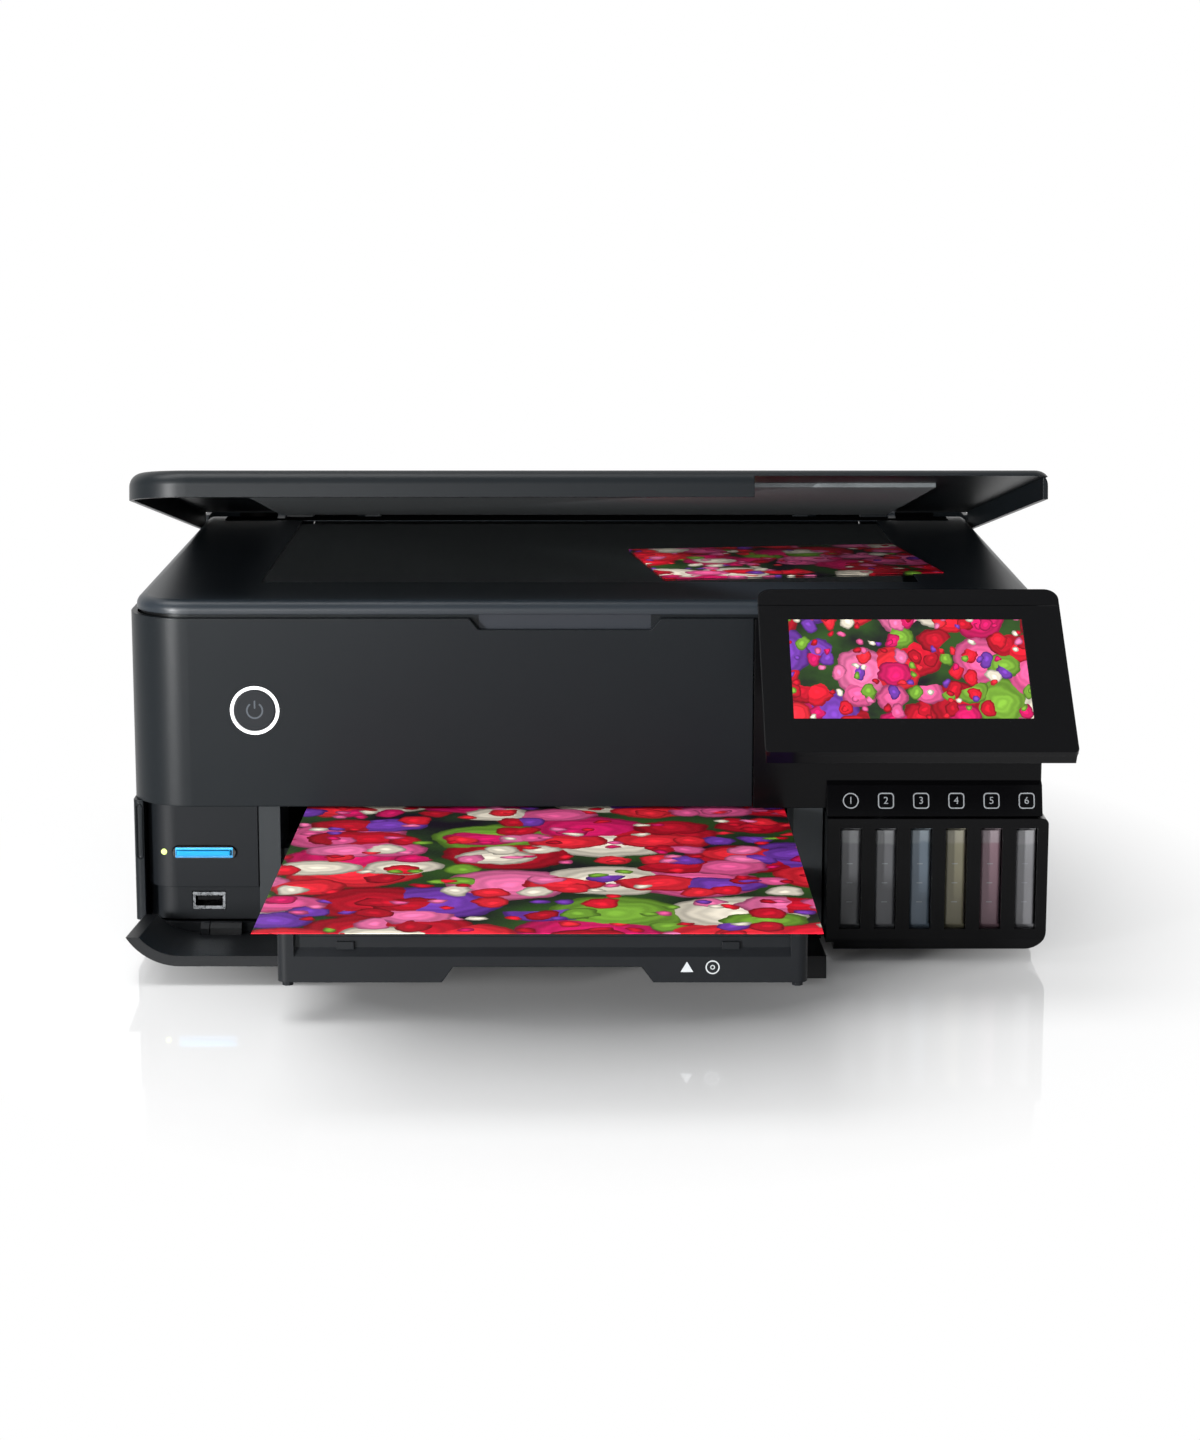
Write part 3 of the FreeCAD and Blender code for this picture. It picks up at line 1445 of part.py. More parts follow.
def pulley(x):
    # Toothed wheel, drawn with flat-topped teeth
    y0 = behind(belt_back)
    points = []
    for i in range(2 * tooth_count):
        angle = math.pi * (i + 0.5) / tooth_count
        radius = pulley_r if i % 4 < 2 else pulley_r - tooth_h
        points.append((x + radius * math.cos(angle), belt_z + radius * math.sin(angle)))
    return front_view(points, y0, y0 + belt_w)


def drive_pulley():
    y1 = behind(rail_back) + rail_t + motor_len - 4
    return pulley(pulley_right).fuse(rod_y(pulley_right, behind(belt_back), y1, belt_z,
                                           motor_shaft_r)).removeSplitter()


def idler_pulley():
    y0 = behind(belt_back)
    return pulley(pulley_left).cut(rod_y(pulley_left, y0 - 1, y0 + belt_w + 1, belt_z,
                                         pin_r + run)).removeSplitter()


def timing_belt():
    inner = pulley_r + gap
    outer = inner + belt_t
    y0 = behind(belt_back) + gap
    y1 = y0 + belt_w - 2 * gap

    def loop(r):
        return [(pulley_left - r, belt_z - r, r - 0.01), (pulley_right + r, belt_z - r, r - 0.01),
                (pulley_right + r, belt_z + r, r - 0.01), (pulley_left - r, belt_z + r, r - 0.01)]

    return front_view(loop(outer), y0, y1).cut(front_view(loop(inner), y0 - 1, y1 + 1))


def carriage_motor():
    # Eight-sided can with a blind bore for the shaft
    y0 = behind(rail_back) + rail_t
    can = front_view(octagon(pulley_right, belt_z, motor_r), y0, y0 + motor_len)
    return can.cut(rod_y(pulley_right, y0 - 1, y0 + motor_len - 3, belt_z,
                         motor_shaft_r + run)).removeSplitter()


# Inner parts

def paper_cassette_lower():
    y0 = behind(cassette_front)
    y1 = y0 + cassette_len
    z0 = rib_top_z + gap
    z1 = z0 + cassette_h
    box = block(cassette_left, cassette_right, y0, y1, z0, z1)
    t = cassette_wall
    box = box.cut(block(cassette_left + t, cassette_right - t, y0 + t, y1 - t, z0 + t, z1 + 1))
    mid = (cassette_left + cassette_right) / 2
    half = cassette_grip_w / 2
    slope = half - cassette_grip_slope
    sill = z1 - cassette_grip_h
    grip = front_view([(mid - half, z1 + 1), (mid - slope, sill), (mid + slope, sill),
                       (mid + half, z1 + 1)],
                      y0 - 1, y0 + t + 1)
    return box.cut(grip).removeSplitter()


def paper_cassette_upper():
    y0 = behind(cassette_front) + 3
    y1 = y0 + small_len
    z0 = rib_top_z + gap + cassette_h + gap
    z1 = z0 + small_h
    x0 = cassette_left + small_inset
    x1 = cassette_right - small_inset
    t = cassette_wall
    pan = block(x0, x1, y0, y1, z0, z1).cut(block(x0 + t, x1 - t, y0 + t, y1 - t, z0 + t, z1 + 1))
    wings = []
    for wing_y in (y0 + wing_near, y1 - wing_far):
        wing_end = wing_y + wing_far - wing_near
        wings.append(block(cassette_left, x0 + 1, wing_y, wing_end, z0, z0 + t))
        wings.append(block(x1 - 1, cassette_right, wing_y, wing_end, z0, z0 + t))
    return pan.fuse(wings).removeSplitter()


def inner_deck():
    x0 = left + wall + gap
    x1 = right - wall - gap
    front = behind(panel_wall + 12)
    lane_front = behind(carriage_front - 22)
    lane_back = behind(rail_back) + rail_t + 2 * gap
    axis_y = tank_cover_axis()[0]
    rear = behind(lid_axis_back + 4)
    r = corner_r - panel_wall
    deck = plan([(x0, front + 2, r), (front_end_x, front + 2), (front_end_x, lane_front),
                 (plate_left - rail_t - gap, lane_front),
                 (plate_left - rail_t - gap, lane_back), (plate_right + 4, lane_back),
                 (plate_right + 4, axis_y + gap),
                 (x1, axis_y + gap), (x1, rear), (x0, rear)], deck_z, deck_z + deck_t)
    pieces = []
    hinge_y = behind(scan_axis_back)
    arm = [(hinge_y - 5, deck_z + 1), (hinge_y + knuckle_r, deck_z + 1),
           (hinge_y + knuckle_r, scan_axis_z),
           (hinge_y - knuckle_r + 0.5, scan_axis_z)]
    for x, side in lid_hinges():
        x0, x1 = ear_range(x, side)
        pieces += [ear(x, side, hinge_y, scan_axis_z), ear_arm(x, side, arm)]
        pieces.append(block(x0, x1, rear - 6, hinge_y + knuckle_r, deck_z, deck_z + deck_t))
    deck = deck.fuse(pieces)
    bores = [ear_bore(x, side, hinge_y, scan_axis_z) for x, side in lid_hinges()]
    return deck.cut(bores).removeSplitter()


def board_boss_y():
    return (behind(board_front + 8), behind(board_front + board_len - 8))


def board_boss_z():
    return (board_low_z + 8, board_low_z + board_h - 8)


def main_board():
    x0 = left + wall + board_stand
    y0 = behind(board_front)
    board = block(x0, x0 + board_t, y0, y0 + board_len, board_low_z, board_low_z + board_h)
    chips = []
    for y, z, w, h, t in board_chips:
        chip_z = board_low_z + z
        chips.append(block(x0 + board_t / 2, x0 + board_t + t, y0 + y, y0 + y + w, chip_z, chip_z + h))
    return board.fuse(chips).removeSplitter()


def power_supply():
    x0 = tank_left + supply_side
    x1 = right - wall - supply_clear
    y0 = behind(tank_back + supply_gap)
    y1 = rear_y - wall - inlet_len - supply_clear
    z0 = rib_top_z + gap
    z1 = z0 + supply_h
    box = block(x0, x1, y0, y1, z0, z1)
    slots = []
    for i in range(supply_vent_count):
        y = y0 + supply_vent_first + supply_vent_pitch * i
        slots.append(block(x0 + supply_vent_inset, x1 - supply_vent_inset, y, y + supply_vent_cut_w,
                           z1 - supply_vent_depth, z1 + 1))
    return box.cut(slots)


def waste_ink_box():
    x0 = left + wall + waste_side
    x1 = cassette_left - waste_clear
    y0 = behind(board_front + waste_front)
    y1 = rear_y - wall - waste_rear
    z0 = rib_top_z + gap
    z1 = z0 + waste_h
    box = block(x0, x1, y0, y1, z0, z1)
    t = waste_rim
    return box.cut(block(x0 + t, x1 - t, y0 + t, y1 - t, z1 - waste_depth, z1 + 1))


def ink_tubes():
    # Flat six-lane tube ribbon from the tanks into one valve block
    y0 = behind(tank_back)
    y1 = y0 + lane_run
    valve = block(tank_x(0) - valve_left, tank_x(tank_count - 1) + valve_right, y1, y1 + valve_len,
                  lane_z - valve_low, lane_z + valve_high)
    lanes = []
    for i in range(tank_count):
        x = tank_x(i)
        lanes.append(block(x - lane_left, x + lane_right, y0, y1 + 1, lane_z - lane_half,
                           lane_z + lane_half))
    return valve.fuse(lanes).removeSplitter()


# Rear

def feed_slot_y():
    return rear_y - feed_axis_inset - feed_cover_len + 9.0


def feed_axis_z():
    return body_top_z + knuckle_r + gap


def feed_ear_x():
    # Left edge of the cheek at each end of the feed cover
    reach = feed_cover_w / 2 + gap
    return (-reach - ear_w, reach)


def support_y():
    return rear_y - wall - gap - support_t


def rear_feed_cover():
    axis_y = rear_y - feed_axis_inset
    axis_z = feed_axis_z()
    y0 = axis_y - feed_cover_len
    low = body_top_z + gap
    plate = side_view([(y0, low), (axis_y - knuckle_r - 2 * gap, low),
                       (axis_y - knuckle_r - 2 * gap, low + feed_cover_t),
                       (y0 + 1, low + feed_cover_t)], -feed_cover_w / 2, feed_cover_w / 2)
    pieces = []
    half = feed_cover_w / 2
    for x0, x1 in ((-half, -half + 2 * ear_w), (half - 2 * ear_w, half)):
        pieces.append(side_view([(axis_y - knuckle_r - 3, low), (axis_y + 2, low + 0.4),
                                 (axis_y + 2.5, axis_z + 2),
                                 (axis_y - 2, axis_z + 2), (axis_y - knuckle_r - 3, low + feed_cover_t)],
                                 x0, x1))
        pieces.append(rod_x(x0 - ear_w, x1 + ear_w, axis_y, axis_z, pin_r))
    trimmed = block(-half + 2 * ear_w, half - 2 * ear_w, axis_y - knuckle_r, axis_y + 5, low - 1,
                    axis_z + 5)
    return plate.fuse(pieces).cut(trimmed).removeSplitter()


def rear_paper_support():
    y0 = support_y()
    z1 = body_top_z
    z0 = z1 - support_h
    half = support_w / 2
    c = support_chamfer
    plate = front_view([(-half, z0 + c), (-half + c, z0), (half - c, z0), (half, z0 + c), (half, z1),
                        (-half, z1)],
                       y0, y0 + support_t)
    slots = []
    for i in range(support_slot_count):
        x = -half + support_w * (i + 1) / (support_slot_count + 1) - support_slot_w / 2
        slots.append(block(x, x + support_slot_w, y0 - 1, y0 + support_t + 1,
                           z0 + support_slot_low, z1 - support_slot_high))
    return plate.cut(slots)


def rear_jam_cover():
    x0 = -jam_w / 2
    x1 = jam_w / 2
    z0 = jam_low_z
    z1 = jam_low_z + jam_h
    y0 = rear_y - wall
    plate = block(x0, x1, y0, rear_y, z0, z1)
    t = jam_pocket_wall
    low = z0 + jam_pocket_low
    high = low + jam_pocket_h
    pockets = []
    grips = []
    for x in (x0 + jam_pocket_inset, x1 - jam_pocket_inset - jam_pocket_w):
        end = x + jam_pocket_w
        pockets.append(block(x, end, y0 - jam_pocket_depth, y0 + 1, low, high))
        grips.append(block(x + t, end - t, y0 - jam_pocket_depth + t, rear_y + 1, low + t, high - t))
    return plate.fuse(pockets).cut(grips).removeSplitter()


def ac_inlet():
    y1 = rear_y
    y0 = y1 - inlet_len
    x0 = inlet_x - inlet_w / 2
    x1 = inlet_x + inlet_w / 2
    z0 = inlet_z - inlet_h / 2
    z1 = inlet_z + inlet_h / 2
    body = block(x0, x1, y0, y1, z0, z1)
    t = inlet_wall
    c = inlet_corner
    room = front_view([(x0 + t, z0 + c), (x0 + c, z0 + t), (x1 - c, z0 + t), (x1 - t, z0 + c),
                       (x1 - t, z1 - c), (x1 - c, z1 - t), (x0 + c, z1 - t), (x0 + t, z1 - c)],
                      y0 + inlet_floor, y1 + 1)
    pins = []
    for x in (inlet_x - inlet_pin_x, inlet_x + inlet_pin_x):
        pins.append(rod_y(x, y0 + inlet_floor - 1, y1 - inlet_pin_sunk, inlet_z, inlet_pin_r))
    return body.cut(room).fuse(pins).removeSplitter()


def jack_places():
    return ((jack_x - jack_pitch, jack_z, lan_w, lan_h), (jack_x, jack_z, usb_b_w, usb_b_h))


def rear_jacks():
    jacks = []
    for x, z, w, h in jack_places():
        y0 = rear_y - jack_len
        t = jack_wall
        shell = block(x - w / 2, x + w / 2, y0, rear_y - jack_sunk, z - h / 2, z + h / 2)
        room = block(x - w / 2 + t, x + w / 2 - t, y0 + jack_floor, rear_y + 1, z - h / 2 + t,
                     z + h / 2 - t)
        jacks.append(shell.cut(room).Solids[0])
    x, z = jack_places()[1][:2]
    tongue = block(x - jack_tongue_w / 2, x + jack_tongue_w / 2, rear_y - jack_len + jack_floor - 1,
                   rear_y - jack_tongue_sunk, z - jack_tongue_h / 2, z + jack_tongue_h / 2)
    jacks[1] = jacks[1].fuse(tongue).removeSplitter().Solids[0]
    return Part.makeCompound(jacks)


pieces_in_order = [
    bottom_case, feet, main_housing, front_panel, power_ring, power_button, card_panel,
    card_slot_bezel, memory_card, usb_host_socket, status_led, paper_exit_frame, output_tray,
    front_cover, tank_bezel, tank_caps, tank_cover, tank_upper_trim, panel_fascia, touch_screen,
    panel_rear_shell, scanner_frame, scanner_glass, scanner_tray, scan_rail, scan_carriage,
    photo_original, lid_shell, document_mat, printed_sheet, feed_roller, exit_roller,
    star_wheel_holder, platen, cap_station, carriage_rail, print_carriage, print_head, drive_pulley,
    idler_pulley, timing_belt, carriage_motor, paper_cassette_lower, paper_cassette_upper,
    inner_deck, main_board, power_supply, waste_ink_box, ink_tubes, rear_feed_cover,
    rear_paper_support, rear_jam_cover, ac_inlet, rear_jacks,
]
for piece in pieces_in_order:
    save(piece.__name__, piece())
for i in range(tank_count):
    save("ink_tank_" + str(i + 1), ink_tank(i))
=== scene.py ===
import math

import bmesh
import bpy
from mathutils import Matrix, Vector


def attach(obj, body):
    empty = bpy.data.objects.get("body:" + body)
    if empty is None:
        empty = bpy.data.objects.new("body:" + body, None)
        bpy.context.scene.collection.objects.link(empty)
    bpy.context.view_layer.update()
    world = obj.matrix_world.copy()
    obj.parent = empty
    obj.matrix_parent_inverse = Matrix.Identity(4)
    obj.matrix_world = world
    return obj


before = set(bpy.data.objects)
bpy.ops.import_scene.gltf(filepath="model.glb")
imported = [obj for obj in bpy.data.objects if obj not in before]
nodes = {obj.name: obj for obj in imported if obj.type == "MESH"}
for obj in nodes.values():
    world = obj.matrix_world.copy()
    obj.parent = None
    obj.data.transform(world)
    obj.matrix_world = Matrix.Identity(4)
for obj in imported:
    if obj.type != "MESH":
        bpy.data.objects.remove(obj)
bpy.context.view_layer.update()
scene = bpy.context.scene
scene.view_settings.view_transform = "Standard"
mm = 0.001
perMetre = 1000.0  # a pattern of n mm repeats perMetre / n times in a metre
usual = {1: 0.3, 2: 0.7}  # a Map Range starts from these, since most values of a noise lie between them
panelFaceY = -161.0  # front panel face, in mm
print("frame loaded")


def linear(code):
    parts = [int(code[i:i + 2], 16) / 255 for i in (1, 3, 5)]
    return [c / 12.92 if c <= 0.04045 else ((c + 0.055) / 1.055) ** 2.4 for c in parts] + [1.0]


def addNode(tree, kind, settings=None, output=0):
    # A key is a property, or an input by its name or number. Another node's output is linked to it
    node = tree.nodes.new("ShaderNode" + kind)
    for key, value in (settings or {}).items():
        if isinstance(value, bpy.types.NodeSocket):
            tree.links.new(value, node.inputs[key])
        elif isinstance(key, str) and hasattr(node, key):
            setattr(node, key, value)
        else:
            node.inputs[key].default_value = value
    return node.outputs[output] if len(node.outputs) else None


def newMaterial(name):
    material = bpy.data.materials.new(name)
    material.use_nodes = True
    tree = material.node_tree
    tree.nodes.clear()
    coords = addNode(tree, "TexCoord", output="Object")
    return material, tree, coords


def grained(tree, coords, look):
    # Surface grain, and a roughness that follows it
    grain = addNode(tree, "TexNoise", {
        "Vector": coords, "Scale": perMetre / look["grainMm"], "Detail": look.get("detail", 3.0)})
    low, high = look["rough"]
    rough = addNode(tree, "MapRange", {0: grain, **usual, 3: low, 4: high})
    return grain, rough


relief = {"strength": 0.35, "edgeSamples": 4}


def grainedNormal(tree, grain, look):
    # The grain stands up from the surface, and sharp edges look slightly rounded
    edge = addNode(tree, "Bevel", {"samples": relief["edgeSamples"], "Radius": look["edgeMm"] * mm})
    return addNode(tree, "Bump", {
        "Strength": relief["strength"], "Distance": look["depthMm"] * mm, "Height": grain,
        "Normal": edge})


# Share of the paler colour: everywhere, from the grain, and from faint flow marks
mottle = {"base": 0.1455, "grain": 0.2545, "flow": 0.6, "flowMm": 70.0}


def moulded(name, look):
    # Injection moulding. The real tool grain is near 0.1 mm and is drawn coarser, so that it shows
    material, tree, coords = newMaterial(name)
    grain, rough = grained(tree, coords, look)
    flow = addNode(tree, "TexNoise", {
        "Vector": coords, "Scale": perMetre / mottle["flowMm"], "Detail": 4.0})
    speck = addNode(tree, "Math", {
        "operation": "MULTIPLY_ADD", 0: grain, 1: mottle["grain"], 2: mottle["base"]})
    share = addNode(tree, "Math", {"operation": "MULTIPLY_ADD", 0: flow, 1: mottle["flow"], 2: speck})
    colour = addNode(tree, "Mix", {
        "data_type": "RGBA", 0: share, 6: linear(look["dark"]), 7: linear(look["light"])}, 2)
    for axis, start, other in look.get("beyond", ()):  # another colour past a place on the piece
        spot = addNode(tree, "SeparateXYZ", {0: coords}, axis)
        past = addNode(tree, "Math", {"operation": "GREATER_THAN", 0: spot, 1: start * mm})
        colour = addNode(tree, "Mix", {"data_type": "RGBA", 0: past, 6: colour, 7: linear(other)}, 2)
    shader = addNode(tree, "BsdfPrincipled", {
        "IOR": look["ior"], "Specular IOR Level": look["gloss"], "Base Color": colour,
        "Roughness": rough, "Normal": grainedNormal(tree, grain, look)})
    addNode(tree, "OutputMaterial", {"Surface": shader})
    return material


def metal(name, look):
    # Bare metal, its grain drawn out by the tool that shaped it
    material, tree, coords = newMaterial(name)
    drawn = addNode(tree, "Mapping", {"Vector": coords, "Scale": look["stretch"]})
    streaks, rough = grained(tree, drawn, look)
    colour = addNode(tree, "Mix", {
        "data_type": "RGBA", 0: streaks, 6: linear(look["dark"]), 7: linear(look["light"])}, 2)
    shader = addNode(tree, "BsdfPrincipled", {
        "Metallic": 1.0, "Base Color": colour, "Roughness": rough,
        "Normal": grainedNormal(tree, streaks, look)})
    addNode(tree, "OutputMaterial", {"Surface": shader})
    return material


# Charcoal ABS from a spark-eroded tool: a fine grain that spreads the shine
charcoalLook = {"dark": "#0b0f12", "light": "#111518", "rough": (0.3, 0.4), "gloss": 0.13, "ior": 1.53,
                "grainMm": 0.45, "depthMm": 0.03, "edgeMm": 0.7}
charcoal = moulded("charcoalAbsSparkTexture", charcoalLook)

# The same with a finer grain and more shine: the lid's edge takes a broad sheen
lidLook = dict(charcoalLook, rough=(0.33, 0.43), gloss=0.2, grainMm=0.35)
lidCharcoal = moulded("charcoalAbsFineTexture", lidLook)

# The charcoal ABS drawn paler, as painted light: the rounded front edge of the bed catches the light from
# above
bedPaintedLightLook = dict(charcoalLook, dark="#171c21", light="#20262c", rough=(0.31, 0.41), gloss=0.26)
bedCharcoalPaintedLight = moulded("bedAbsPaintedLight", bedPaintedLightLook)

# Satin ABS: paler only in the finger recess, as painted light; darker to the right of it and black behind,
# as painted shade
recessPaintedLightAndShade = ((0, -47.0, "#282b30"), (0, 28.0, "#101316"), (1, -155.0, "#08090a"))
trayShellPaintedLightAndShade = moulded("scannerTrayAbsPaintedLightAndShade", dict(charcoalLook, beyond=recessPaintedLightAndShade))

# Satin ABS, a little paler than the panel: the button stands out from it
buttonLook = dict(charcoalLook, dark="#16181b", light="#1e2124", rough=(0.31, 0.41))
buttonPlastic = moulded("powerButtonAbsSatin", buttonLook)

# Black ABS from a polished tool: a dark mirror, slightly soft
blackLook = {"dark": "#030304", "light": "#070708", "rough": (0.15, 0.25), "gloss": 0.1, "ior": 1.53,
             "grainMm": 0.3, "depthMm": 0.0015, "edgeMm": 0.5}
black = moulded("blackAbsPolished", blackLook)

# Piano-black ABS: a sharper mirror round the screen
fasciaBlack = moulded("blackAbsPianoGloss", dict(blackLook, rough=(0.09, 0.19), gloss=0.14))

# Dark grey ABS with a coarser spark texture: almost matt
greyLook = {"dark": "#0d0f12", "light": "#121518", "rough": (0.43, 0.53), "gloss": 0.13, "ior": 1.53,
            "grainMm": 0.5, "depthMm": 0.035, "edgeMm": 0.5}
darkGrey = moulded("darkGreyAbsSparkTexture", greyLook)
trayLook = dict(greyLook, dark="#0f1113", light="#15171a")  # a shade paler
trayGrey = moulded("trayAbsSparkTexture", trayLook)
guideLook = dict(greyLook, dark="#26282a", light="#303335")  # paler still, in the shade of the paper exit
guideGrey = moulded("guideAbsSparkTexture", guideLook)

# A smoother grey ABS: the flap shines a little, and turns black at its right end
coverLook = dict(greyLook, dark="#0c0d0f", light="#111315", rough=(0.37, 0.47),
                 beyond=((0, 91.2, "#050506"),))
coverGrey = moulded("coverAbsBlackEnd", coverLook)

# Satin ABS in middle grey: caps and print head stand out from the dark pieces
midLook = dict(greyLook, dark="#4a4d51", light="#5a5d61", rough=(0.35, 0.45))
midGrey = moulded("midGreyAbsSatin", midLook)

# Satin ABS in clear blue: the memory card shows at once
cardLook = dict(greyLook, dark="#1581b8", light="#2597cf", rough=(0.3, 0.4))
cardBlue = moulded("memoryCardAbsBlue", cardLook)

# Moulded rubber: dull, with a dusty grain
rubberLook = dict(greyLook, dark="#0c0c0d", light="#151516", rough=(0.75, 0.85), grainMm=0.8)
rubber = moulded("feetRubberMoulded", rubberLook)

# Lacquered glass-fibre board: green with a coarse mottle
boardLook = dict(greyLook, dark="#0d3a1c", light="#155028", grainMm=2.0)
board = moulded("circuitBoardFr4", boardLook)

# Rolled, zinc-plated steel: pale grey with streaks along the sheet
steelLook = {"dark": "#a5a8ac", "light": "#c6c9cc", "rough": (0.26, 0.42), "grainMm": 6.0, "detail": 4.0,
             "depthMm": 0.01, "edgeMm": 0.3, "stretch": (0.1, 1.0, 1.0)}
steel = metal("sheetSteelZincPlated", steelLook)

# Turned brass: warm and bright, with drawn-out marks
brassLook = dict(steelLook, dark="#b08a45", light="#cba65c", rough=(0.22, 0.38), grainMm=3.0,
                 stretch=(1.0, 0.2, 1.0))
brass = metal("pulleyBrassTurned", brassLook)
print("plastics and metals made")


foamPaintedShadeLook = {"dark": "#505456", "light": "#5e6264", "grainMm": 1.6, "rough": 0.85, "gloss": 0.25,
            "depthMm": 0.05, "edgeMm": 0.5}


def foamMat():
    # Paper-faced foam: dull, with a faint fibre; its white is drawn grey, as painted shade under the lid
    material, tree, coords = newMaterial("documentMatWhiteFoamPaintedShade")
    fibre = addNode(tree, "TexNoise", {
        "Vector": coords, "Scale": perMetre / foamPaintedShadeLook["grainMm"], "Detail": 5.0})
    colour = addNode(tree, "Mix", {
        "data_type": "RGBA", 0: fibre, 6: linear(foamPaintedShadeLook["dark"]), 7: linear(foamPaintedShadeLook["light"])}, 2)
    shader = addNode(tree, "BsdfPrincipled", {
        "Roughness": foamPaintedShadeLook["rough"], "Specular IOR Level": foamPaintedShadeLook["gloss"], "Base Color": colour,
        "Normal": grainedNormal(tree, fibre, foamPaintedShadeLook)})
    addNode(tree, "OutputMaterial", {"Surface": shader})
    return material


# Heights in mm: where the ink starts to pale, how far its edge is wavy and how far it fades
tankLook = {"lowMm": 14.0, "waveMm": 6.0, "waveHigh": 0.6, "fadeHigh": 0.5, "ior": 1.49, "gloss": 0.45,
            "coat": 0.15, "rough": (0.3, 0.42), "grainMm": 0.6, "depthMm": 0.02, "edgeMm": 0.4}
inks = (
    {"ink": "#555659", "bottomInk": "#494a4c", "clear": "#6d6e70", "levelMm": 52.5},
    {"ink": "#58595c", "bottomInk": "#4d4e51", "clear": "#707173", "levelMm": 52.0},
    {"ink": "#58646f", "bottomInk": "#4b5763", "clear": "#6c757c", "levelMm": 52.8},
    {"ink": "#6f6b57", "bottomInk": "#5f5b49", "clear": "#7c796b", "levelMm": 52.2},
    {"ink": "#715861", "bottomInk": "#624b53", "clear": "#7e7277", "levelMm": 52.6},
    {"ink": "#747477", "bottomInk": "#666669", "clear": "#838385", "levelMm": 52.3},
)


def inkTank(name, filling):
    # Frosted polypropylene: the ink shows milky through it, up to its level
    material, tree, coords = newMaterial(name)
    height = addNode(tree, "SeparateXYZ", {0: coords}, 2)
    wave = addNode(tree, "TexNoise", {
        "Vector": coords, "Scale": perMetre / tankLook["waveMm"], "Detail": 3.0})
    lift = tankLook["waveHigh"] * mm
    ripple = addNode(tree, "MapRange", {0: wave, **usual, 3: -lift, 4: lift})
    level = addNode(tree, "Math", {"operation": "ADD", 0: height, 1: ripple})
    top = filling["levelMm"]
    fade = tankLook["fadeHigh"]
    empty = addNode(tree, "MapRange", {
        0: level, 1: (top - fade) * mm, 2: (top + fade) * mm, 3: 0.0, 4: 1.0})
    # The ink is drawn darker towards the bottom of the tank
    upper = addNode(tree, "MapRange", {0: height, 1: tankLook["lowMm"] * mm, 2: top * mm, 3: 0.0, 4: 1.0})
    ink = addNode(tree, "Mix", {
        "data_type": "RGBA", 0: upper, 6: linear(filling["bottomInk"]), 7: linear(filling["ink"])}, 2)
    colour = addNode(tree, "Mix", {"data_type": "RGBA", 0: empty, 6: ink, 7: linear(filling["clear"])}, 2)
    frost, rough = grained(tree, coords, tankLook)
    shader = addNode(tree, "BsdfPrincipled", {
        "IOR": tankLook["ior"], "Specular IOR Level": tankLook["gloss"], "Coat Weight": tankLook["coat"],
        "Base Color": colour, "Roughness": rough, "Normal": grainedNormal(tree, frost, tankLook)})
    addNode(tree, "OutputMaterial", {"Surface": shader})
    return material


glassLook = {"tint": "#3a4040", "ior": 1.52, "gloss": 0.08, "through": 0.9, "rough": (0.01, 0.05),
             "grainMm": 60.0, "detail": 4.0}


def scanGlass():
    # Float glass over a dark bed: near black, with faint wiped smears
    material, tree, coords = newMaterial("scannerGlassFloat")
    rough = grained(tree, coords, glassLook)[1]
    shader = addNode(tree, "BsdfPrincipled", {
        "Transmission Weight": glassLook["through"], "IOR": glassLook["ior"],
        "Specular IOR Level": glassLook["gloss"], "Base Color": linear(glassLook["tint"]),
        "Roughness": rough})
    addNode(tree, "OutputMaterial", {"Surface": shader})
    return material


# Brightness of a disc in its middle, at its rim and from its rings, and how loosely discs are strewn
discLook = {"middle": 1.1, "rim": 0.34, "ring": 0.1, "loose": 0.85}
discColours = ("#d0122c", "#ee1c33", "#7a3fb4", "#f0609c", "#e01868", "#f42a3a", "#f4ead6", "#7cae38",
               "#c01028", "#f878ae")
# Reach is a disc's radius within its cell, and rare the share of discs left out
discLayers = (
    {"sizeMm": 48.0, "shift": (0.013, 0.027, 0), "squeeze": (1, 1, 1),
     "reach": 0.55, "rings": 44.0, "rare": 0.05},
    {"sizeMm": 34.0, "shift": (0.051, 0.009, 0), "squeeze": (1, 1.2, 1),
     "reach": 0.48, "rings": 38.0, "rare": 0.35},
    {"sizeMm": 19.0, "shift": (0.007, 0.061, 0), "squeeze": (1.2, 1, 1),
     "reach": 0.44, "rings": 26.0, "rare": 0.6},
    {"sizeMm": 9.0, "shift": (0.031, 0.043, 0), "squeeze": (1, 1, 1),
     "reach": 0.4, "rings": 14.0, "rare": 0.8},
)


